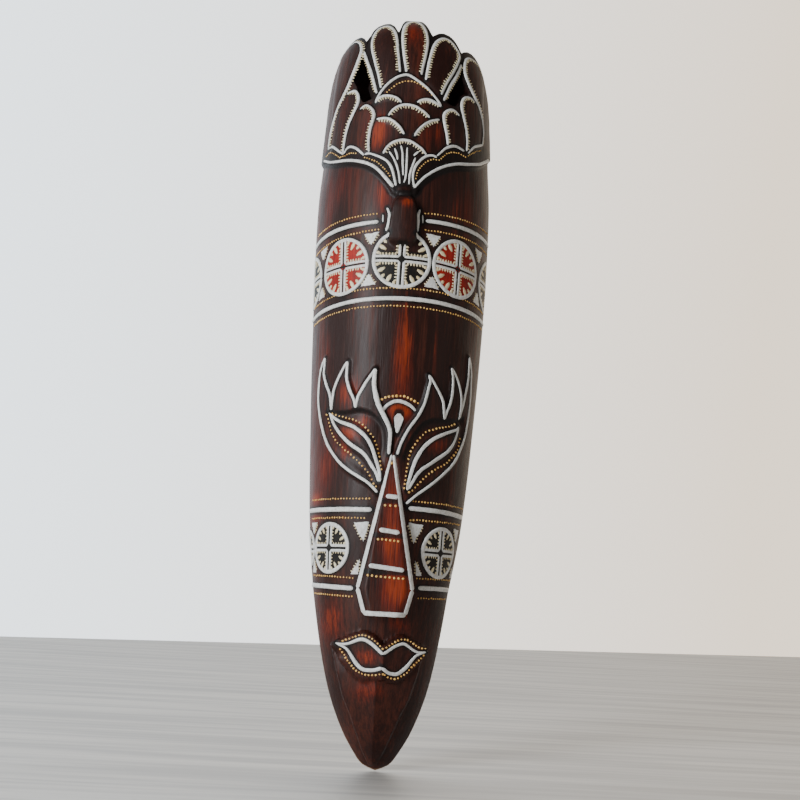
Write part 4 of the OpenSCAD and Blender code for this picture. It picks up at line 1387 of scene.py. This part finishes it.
class Sheet:
    # The nodes of a material or of the room
    def __init__(self, tree):
        self.sheet = tree

    # Adds a node: settings first, then the values or wires of its sockets
    def node(self, kind, settings=None, sockets=None, output=0):
        node = self.sheet.nodes.new("ShaderNode" + kind)
        for key, value in (settings or {}).items():
            if key == "stops":
                ramp = node.color_ramp
                while len(ramp.elements) < len(value):
                    ramp.elements.new(0.5)
                for element, (place, colour) in zip(ramp.elements, value):
                    element.position = place
                    element.color = (*colour, 1)
            else:
                setattr(node, key, value)
        for key, value in (sockets or {}).items():
            self.put(node.inputs[key], value)
        return Wire(self.sheet, node.outputs[output])

    def put(self, socket, value):
        if isinstance(value, Wire):
            self.sheet.links.new(value.socket, socket)
        elif hasattr(socket.default_value, "__len__") and not hasattr(value, "__len__"):
            socket.default_value = [value] * len(socket.default_value)
        elif hasattr(value, "__len__") and len(socket.default_value) == 4 and len(value) == 3:
            socket.default_value = (*value, 1)
        else:
            socket.default_value = value

    def noise(self, scale, detail, rough):
        place = self.node("Mapping", {}, {"Vector": self.node("TexCoord", output=3),
                                          "Scale": scale})
        return self.node("TexNoise", {}, {"Vector": place, "Scale": 1.0, "Detail": detail,
                                          "Roughness": rough})

    def ramp(self, factor, stops):
        return self.node("ValToRGB", {"stops": stops}, {"Fac": factor})

    # Between low and high the value rises smoothly from 0 to 1
    def step(self, value, low, high):
        return self.node("MapRange", {"interpolation_type": "SMOOTHSTEP"},
                         {"Value": value, "From Min": low, "From Max": high})

    def blendColour(self, factor, a, b):
        node = self.sheet.nodes.new("ShaderNodeMix")
        node.data_type = "RGBA"
        self.put(node.inputs[0], factor)
        self.put(node.inputs[6], a)
        self.put(node.inputs[7], b)
        return Wire(self.sheet, node.outputs[2])

    def attribute(self, name):
        return self.node("Attribute", {"attribute_name": name}, output=2)

    def bump(self, height, strength, distance):
        return self.node("Bump", {}, {"Height": height, "Strength": strength,
                                      "Distance": distance})


class Finish(Sheet):
    def __init__(self, name):
        self.material = bpy.data.materials.new(name)
        self.material.use_nodes = True
        super().__init__(self.material.node_tree)
        self.surface = self.sheet.nodes["Principled BSDF"]

    def set(self, **sockets):
        for key, value in sockets.items():
            self.put(self.surface.inputs[spoken[key]], value)
        return self.material


spoken = {"colour": "Base Color", "rough": "Roughness", "metal": "Metallic",
          "coat": "Coat Weight", "coatRough": "Coat Roughness", "coatIndex": "Coat IOR",
          "normal": "Normal", "shine": "Specular IOR Level"}

woodColours = {
    "ground": (0.060, 0.0150, 0.0085),
    "dark": (0.0190, 0.0054, 0.0038),
    "red": (0.125, 0.0120, 0.0046),
    "orange": (0.270, 0.0330, 0.0055),
    "bare": (0.235, 0.125, 0.062),
    "bareDark": (0.105, 0.052, 0.026),
    "barePores": (0.06, 0.028, 0.014),
    "black": (0.0035, 0.0028, 0.0028),
    "cherry": (0.24, 0.012, 0.007),
}


def stainedWood():
    f = Finish("stainedWood")
    broad = f.noise((42, 42, 4.2), detail=4, rough=0.62)
    fine = f.noise((520, 520, 15), detail=5, rough=0.68)
    fibre = f.noise((1500, 1500, 42), detail=3, rough=0.6)
    blotch = f.noise((16, 16, 7), detail=2, rough=0.5)
    streak = f.step(broad * 0.55 + fine * 0.45, 0.44, 0.60)
    base = f.blendColour(streak, woodColours["dark"], woodColours["ground"])
    # warm streaks and red patches of stain, plus a painted highlight on the knob top
    warm = f.attribute("warmth")
    reddish = f.step(broad * 0.35 + fine * 0.35 + blotch * 0.3 + warm * 0.34, 0.52, 0.80)
    base = f.blendColour(reddish * 0.92, base, woodColours["red"])
    glow = f.step(fine * 0.75 + fibre * 0.2 + warm * 0.46, 0.70, 1.00)
    base = f.blendColour(glow * 0.85, base, woodColours["orange"])
    base = f.blendColour(f.attribute("cherry"), base, woodColours["cherry"])
    pores = f.step(fibre, 0.36, 0.5)
    base = f.blendColour((1 - pores) * 0.55, base, woodColours["dark"])
    # margin carries the black beside the white lines, plus painted shade in the recesses and along
    # the brow grooves
    base = f.blendColour(f.attribute("margin"), base, woodColours["black"])
    bare = f.blendColour(f.step(broad * 0.5 + fine * 0.5, 0.40, 0.62), woodColours["bareDark"],
                         woodColours["bare"])
    bare = f.blendColour((1 - pores) * 0.4, bare, woodColours["barePores"])
    depth = f.node("SeparateXYZ", {}, {"Vector": f.node("TexCoord", output=3)}, output=1)
    onBack = f.step(depth, -0.0007, -0.0003)
    base = f.blendColour(f.attribute("backStain").highest(onBack), base, bare)
    height = fine * 0.5 + fibre * 0.5
    return f.set(colour=base, rough=0.38 + 0.26 * fine, coat=0.08, coatRough=0.24,
                 coatIndex=1.45, shine=0.20, normal=f.bump(height, 0.6, 0.0006))


def whitePaint():
    f = Finish("whitePaint")
    cloud = f.noise((700, 700, 500), detail=4, rough=0.6)
    worn = f.noise((2600, 2600, 1400), detail=3, rough=0.6)
    base = f.ramp(cloud * 0.6 + worn * 0.4,
                  [(0.30, (0.40, 0.38, 0.34)), (0.47, (0.66, 0.65, 0.62)),
                   (0.62, (0.80, 0.81, 0.80))])
    return f.set(colour=base, rough=0.5 - 0.12 * cloud, metal=0.0, shine=0.5, coat=0.15,
                 coatRough=0.3, normal=f.bump(cloud * 0.6 + worn * 0.4, 0.35, 0.0003))


def creamPaint(name, pale, deep):
    f = Finish(name)
    cloud = f.noise((420, 420, 420), detail=3, rough=0.6)
    return f.set(colour=f.blendColour(f.step(cloud, 0.36, 0.64), deep, pale),
                 rough=0.42 + 0.14 * cloud, coat=0.2, coatRough=0.3,
                 normal=f.bump(cloud, 0.2, 0.0002))


def fieldPaint(name, deep, pale):
    f = Finish(name)
    brush = f.noise((600, 600, 90), detail=4, rough=0.6)
    return f.set(colour=f.blendColour(f.step(brush, 0.35, 0.65), deep, pale),
                 rough=0.46 + 0.2 * brush, coat=0.08, coatRough=0.3, shine=0.25,
                 normal=f.bump(brush, 0.25, 0.0002))


def hangerMetal(name, pale, dull, rough):
    f = Finish(name)
    tarnish = f.noise((260, 260, 260), detail=4, rough=0.65)
    scratch = f.noise((2400, 300, 1800), detail=3, rough=0.7)
    spots = f.step(tarnish, 0.48, 0.68)
    return f.set(colour=f.blendColour(spots, pale, dull), metal=1.0 - 0.25 * spots,
                 rough=rough + 0.22 * spots + 0.12 * scratch,
                 normal=f.bump(scratch * 0.6 + tarnish * 0.4, 0.25, 0.00012))


wood = stainedWood()
white = whitePaint()
cream = creamPaint("creamPaint", (0.78, 0.70, 0.48), (0.68, 0.54, 0.30))
amber = creamPaint("amberPaint", (0.90, 0.58, 0.18), (0.74, 0.38, 0.08))
black = fieldPaint("blackPaint", (0.004, 0.0032, 0.003), (0.012, 0.008, 0.006))
cherry = fieldPaint("cherryPaint", (0.19, 0.006, 0.003), (0.36, 0.012, 0.004))
strapMetal = hangerMetal("strapMetal", (0.60, 0.44, 0.20), (0.24, 0.15, 0.07), 0.30)
ringMetal = hangerMetal("ringMetal", (0.66, 0.49, 0.23), (0.27, 0.17, 0.08), 0.24)
screwMetal = hangerMetal("screwMetal", (0.56, 0.54, 0.50), (0.20, 0.17, 0.14), 0.30)


def dress(piece, material):
    piece.data.materials.clear()
    piece.data.materials.append(material)


# Stain that follows the carving: warm streaks, red patches, black beside the white lines; also a
# painted highlight on the knob top, and painted shade in the recesses and along the brow grooves
warmAndHighlitPlaces = [     # s, z, reach round, reach up, strength
    [4, 262, 8, 44, 0.85], [25, 264, 5, 30, 0.42], [-14, 360, 8, 16, 0.8],
    [34, 352, 16, 24, 0.55], [-19, 404, 8, 15, 0.95], [19, 404, 9, 13, 0.5],
    # the spot at s 1.5, z 353 is a painted highlight along the knob's top edge
    [-46, 372, 12, 20, 0.45], [1.5, 353, 4, 4.5, 0.8], [4, 221, 7, 5, 1.5],
    [-30, 232, 10, 12, 0.75], [-46, 186, 10, 22, 0.62], [-50, 262, 9, 24, 0.4],
    [-26, 206, 9, 6, 1.0], [30, 201, 9, 6, 0.6], [-36, 90, 12, 16, 0.75], [-8, 70, 8, 6, 0.9],
    [-6, 50, 10, 8, 0.7], [6, 112, 9, 14, 1.1], [2, 140, 7, 12, 0.95], [2, 165, 5, 16, 0.8],
    [-30, 291, 26, 3, 0.5],
    [0, 478, 4, 10, 0.6], [12, 90, 8, 6, 0.6], [-56, 355, 8, 24, 0.35], [52, 360, 10, 24, 0.3],
    [-58, 166, 8, 4, 0.8], [-56, 154, 8, 4, 0.8], [46, 168, 8, 30, 0.35], [-47, 425, 6, 14, 0.3],
    [-76, 240, 16, 200, 0.35], [76, 220, 16, 200, 0.2], [-18, 214, 6, 5, 0.7],
    [-30, 194, 6, 6, 0.6]]


def paintStain(piece):
    s, z, lift = fromFrame(vertexPlaces(piece))
    count = len(s)
    warmth = np.zeros(count)
    for cs, cz, rs, rz, strength in warmAndHighlitPlaces:
        warmth += strength * np.exp(-((s - cs) / rs) ** 2 - ((z - cz) / rz) ** 2)
    back = smoothStep(lift, -3.5, -7.0)
    recessed = np.zeros(count)
    for shape in crest["recesses"]:
        inside = edgeDistance(s, z, shape) > -1.5
        recessed = np.maximum(recessed, inside & (lift > -13))
    back = back * (1 - recessed)
    margin = np.zeros(count)
    samples, reaches = [], []
    for line, width in allStrokes:
        samples.append(line[:, :2])
        reaches += [width / 2] * len(line)
    samples = np.vstack(samples)
    tree = kdtree.KDTree(len(samples))
    for k, p in enumerate(samples):
        tree.insert((p[0], p[1], 0), k)
    tree.balance()
    front = np.nonzero(lift > -3)[0]
    for k in front:
        place, index, distance = tree.find((s[k], z[k], 0))
        margin[k] = 1 - min(max((distance - reaches[index] - 0.7) / 0.9, 0), 1)
    margin = margin * 0.93
    # the scroll strip and the gaps between petals are darkened, and the recesses are darkened as
    # painted shade
    low = np.interp(s, *edgeLine.T)
    leftTop, rightTop = [np.vstack([curveThrough(p, 4) for p in crest["scrolls"][k:k + 3]])
                         for k in (0, 3)]
    top = np.where(s < 0, np.interp(s, *leftTop.T), np.interp(s, *rightTop.T))
    strip = (z > low - 0.5) & (z < top) & (np.abs(s) > 5)
    margin = np.maximum(margin, 0.8 * strip)
    foot = lineDistance(s, z, edgeLine)
    margin = np.maximum(margin, 0.88 * smoothStep(foot, 4.6, 3.4) * (z < low + 1) * (lift > -3))
    # painted shade: the groove beside each brow line is darkened where its cut wall lies in shade
    for shape, browLine in zip(socketShapes, browLines):
        fromBrow = lineDistance(s, z, browLine)
        margin = np.maximum(margin, 0.85 * np.exp(-(fromBrow / 3.0) ** 2)
                            * (edgeDistance(s, z, shape) > -1))
    inPetal = np.zeros(count, bool)
    for shape in petalShapes:
        inPetal |= edgeDistance(s, z, shape) > -1.0
    between = (z > 446) & ~inPetal & (lift > -4) & (np.abs(s) < 58)
    # 0.62 of black inside the recesses is painted shade
    margin = np.maximum(margin, np.maximum(0.85 * between, 0.62 * recessed))
    # the nose has a dark strip under each white bar
    for barZ, barLeft, barRight, _, _ in nose["bars"]:
        below = smoothStep(z, barZ - 4.6, barZ - 3.6) * smoothStep(z, barZ - 0.8, barZ - 1.6)
        onBar = (lift > 2.0) & (s > barLeft - 3) & (s < barRight + 3)
        margin = np.maximum(margin, 0.85 * below * onBar)
    fan = edgeDistance(s, z, [[-14, 388], [0, 397], [12, 388], [5, 364], [-5, 364]])
    margin = np.maximum(margin, 0.75 * (fan > 0))
    d = edgeDistance(s, z, [[-7, 362], [-15, 368], [-17, 352], [-13, 338], [-10, 338], [-9, 350]])
    cherryField = 0.10 * smoothStep(d, -3.5, 3)      # a redder place beside the knob
    margin = margin * (1 - back)
    for name, values in (("warmth", warmth), ("margin", margin), ("backStain", back),
                         ("cherry", cherryField)):
        layer = piece.data.attributes.new(name, "FLOAT", "POINT")
        layer.data.foreach_set("value", np.ascontiguousarray(values, np.float32))


paintStain(maskBody)
dress(maskBody, wood)
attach(maskBody, "mask")
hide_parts("mask_body")

replaced = {
    "crestPetalPaint": "crest_petal_trails", "crestLeafPaint": "crest_leaf_trails",
    "crestShellPaint": "crest_shell_trails", "crestFanPaint": "crest_fan_trails",
    "crestScrollPaint": "crest_scroll_trails", "knobPaint": "knob_trails",
    "upperStripePaint": "upper_band_stripes", "upperMedallionPaint": "upper_band_medallions",
    "hornPaint": "horn_trails", "eyePaint": "eye_trails", "browPaint": "brow_drop_trails",
    "noseOutlinePaint": "nose_outline_trail", "noseBarPaint": "nose_bar_trails",
    "lipPaint": "lip_trail", "lowerStripePaint": "lower_band_stripes",
    "lowerMedallionPaint": "lower_band_medallions", "noseDotPaint": "nose_dots"}
for name, node in replaced.items():
    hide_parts(node)
whiteLines = [name for name in replaced if name != "noseDotPaint"]
finishes = [
    ["silver_paint", white, whiteLines + ["upperPatches", "lowerPatches"]],
    ["dot_paint", cream, ["crestToothPaint", "upperMedallionTeeth", "lowerMedallionTeeth",
                          "patchToothPaint"]],
    ["dot_paint", amber, ["lipDotPaint", "upperDotPaint", "lowerDotPaint", "noseDotPaint",
                          "crestDotPaint", "eyeDotPaint"]],
    ["carved_wood", black, ["blackFields", "lowerFields", "crossGapPaint"]],
    ["carved_wood", cherry, ["redFields"]],
]
for slotName, material, names in finishes:
    for name in names:
        piece = bpy.data.objects[name]
        dress(piece, material)
        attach(piece, "mask")

for node, material in (("hanger_strap", strapMetal), ("hanging_ring", ringMetal),
                       ("hanger_screw", screwMetal)):
    dress(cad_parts[node], material)
print("finishes laid on")


# Floor, light and camera

studio = {
    "floorZ": -0.4359,
    "floor": [[-4, -3], [4, -3], [-4, -0.31], [4, 2.81]],      # the far edge runs off to the right
    "floorColours": [(0.45, 0.435, 0.42), (0.68, 0.655, 0.62)],
    # place, size, power and colour of each lamp, all turned to the point they light
    "lit": (0, 0, -0.2),
    "lamps": {
        "windowLight": [(-1.25, -1.35, 0.05), (0.55, 1.2), 47, (0.93, 0.97, 1.0)],
        "leftWash": [(-1.5, 0.1, -0.1), (0.8, 1.4), 2.5, (0.92, 0.95, 1.0)],
        "rightFill": [(1.6, -0.9, 0.2), (1.0, 1.2), 3.0, (1.0, 0.93, 0.85)],
    },
    "wallColours": [(2.25, 2.46, 2.62), (1.75, 1.50, 1.20)],      # left to right
    "roomColour": (0.10, 0.095, 0.09),
    "camera": (0, -0.655, -0.3205), "lens": 45.0,
    "yaw": 0.35, "pitch": 10.4, "roll": 2.9,
}
deselectAll()
bpy.ops.mesh.primitive_plane_add(size=2, location=(0, 0, 0))
floor = named("floor")
placeVertices(floor, np.array([[x, y, studio["floorZ"]] for x, y in studio["floor"]]))
floorFinish = Finish("paleFloor")
streaks = floorFinish.step(floorFinish.noise((3.0, 60, 1), detail=5, rough=0.6), 0.34, 0.66)
dress(floor, floorFinish.set(colour=floorFinish.blendColour(streaks, *studio["floorColours"]),
                             rough=0.5))

for name, (place, size, power, colour) in studio["lamps"].items():
    deselectAll()
    bpy.ops.object.light_add(type="AREA", location=place)
    lamp = bpy.context.object
    lamp.name = name
    lamp.data.shape = "RECTANGLE"
    lamp.data.size, lamp.data.size_y = size
    lamp.data.energy = power
    lamp.data.color = colour
    way = Vector(studio["lit"]) - Vector(place)
    lamp.rotation_euler = way.to_track_quat("-Z", "Y").to_euler()

world = bpy.data.worlds.new("paleRoom")
bpy.context.scene.world = world
world.use_nodes = True
sky = Sheet(world.node_tree)


# Rises evenly from 0 to 1 between two values of one direction out of the room's middle
def roomShare(axis, low, high):
    place = sky.node("SeparateXYZ", {}, {"Vector": sky.node("TexCoord")}, output=axis)
    return sky.node("MapRange", {}, {"Value": place, "From Min": low, "From Max": high})


wallColour = sky.blendColour(roomShare(0, -0.38, 0.34), *studio["wallColours"])
roomColour = sky.blendColour(roomShare(1, 0.1, 0.8), studio["roomColour"], wallColour)
sky.put(world.node_tree.nodes["Background"].inputs["Color"], roomColour)
sky.put(world.node_tree.nodes["Background"].inputs["Strength"], 1.0)

deselectAll()
bpy.ops.object.camera_add(location=studio["camera"])
camera = bpy.context.object
camera.data.lens = studio["lens"]
camera.data.sensor_width = 36
camera.data.clip_start = 0.02
yaw, pitch, roll = [math.radians(studio[k]) for k in ("yaw", "pitch", "roll")]
forward = Vector((math.sin(yaw) * math.cos(pitch), math.cos(yaw) * math.cos(pitch),
                  math.sin(pitch)))
right = Vector((math.cos(yaw), -math.sin(yaw), 0))
up = right.cross(forward)
right, up = (right * math.cos(roll) + up * math.sin(roll),
             up * math.cos(roll) - right * math.sin(roll))
turn = [[right.x, up.x, -forward.x], [right.y, up.y, -forward.y], [right.z, up.z, -forward.z]]
camera.rotation_euler = Matrix(turn).to_euler()
bpy.context.scene.camera = camera
print("studio set")
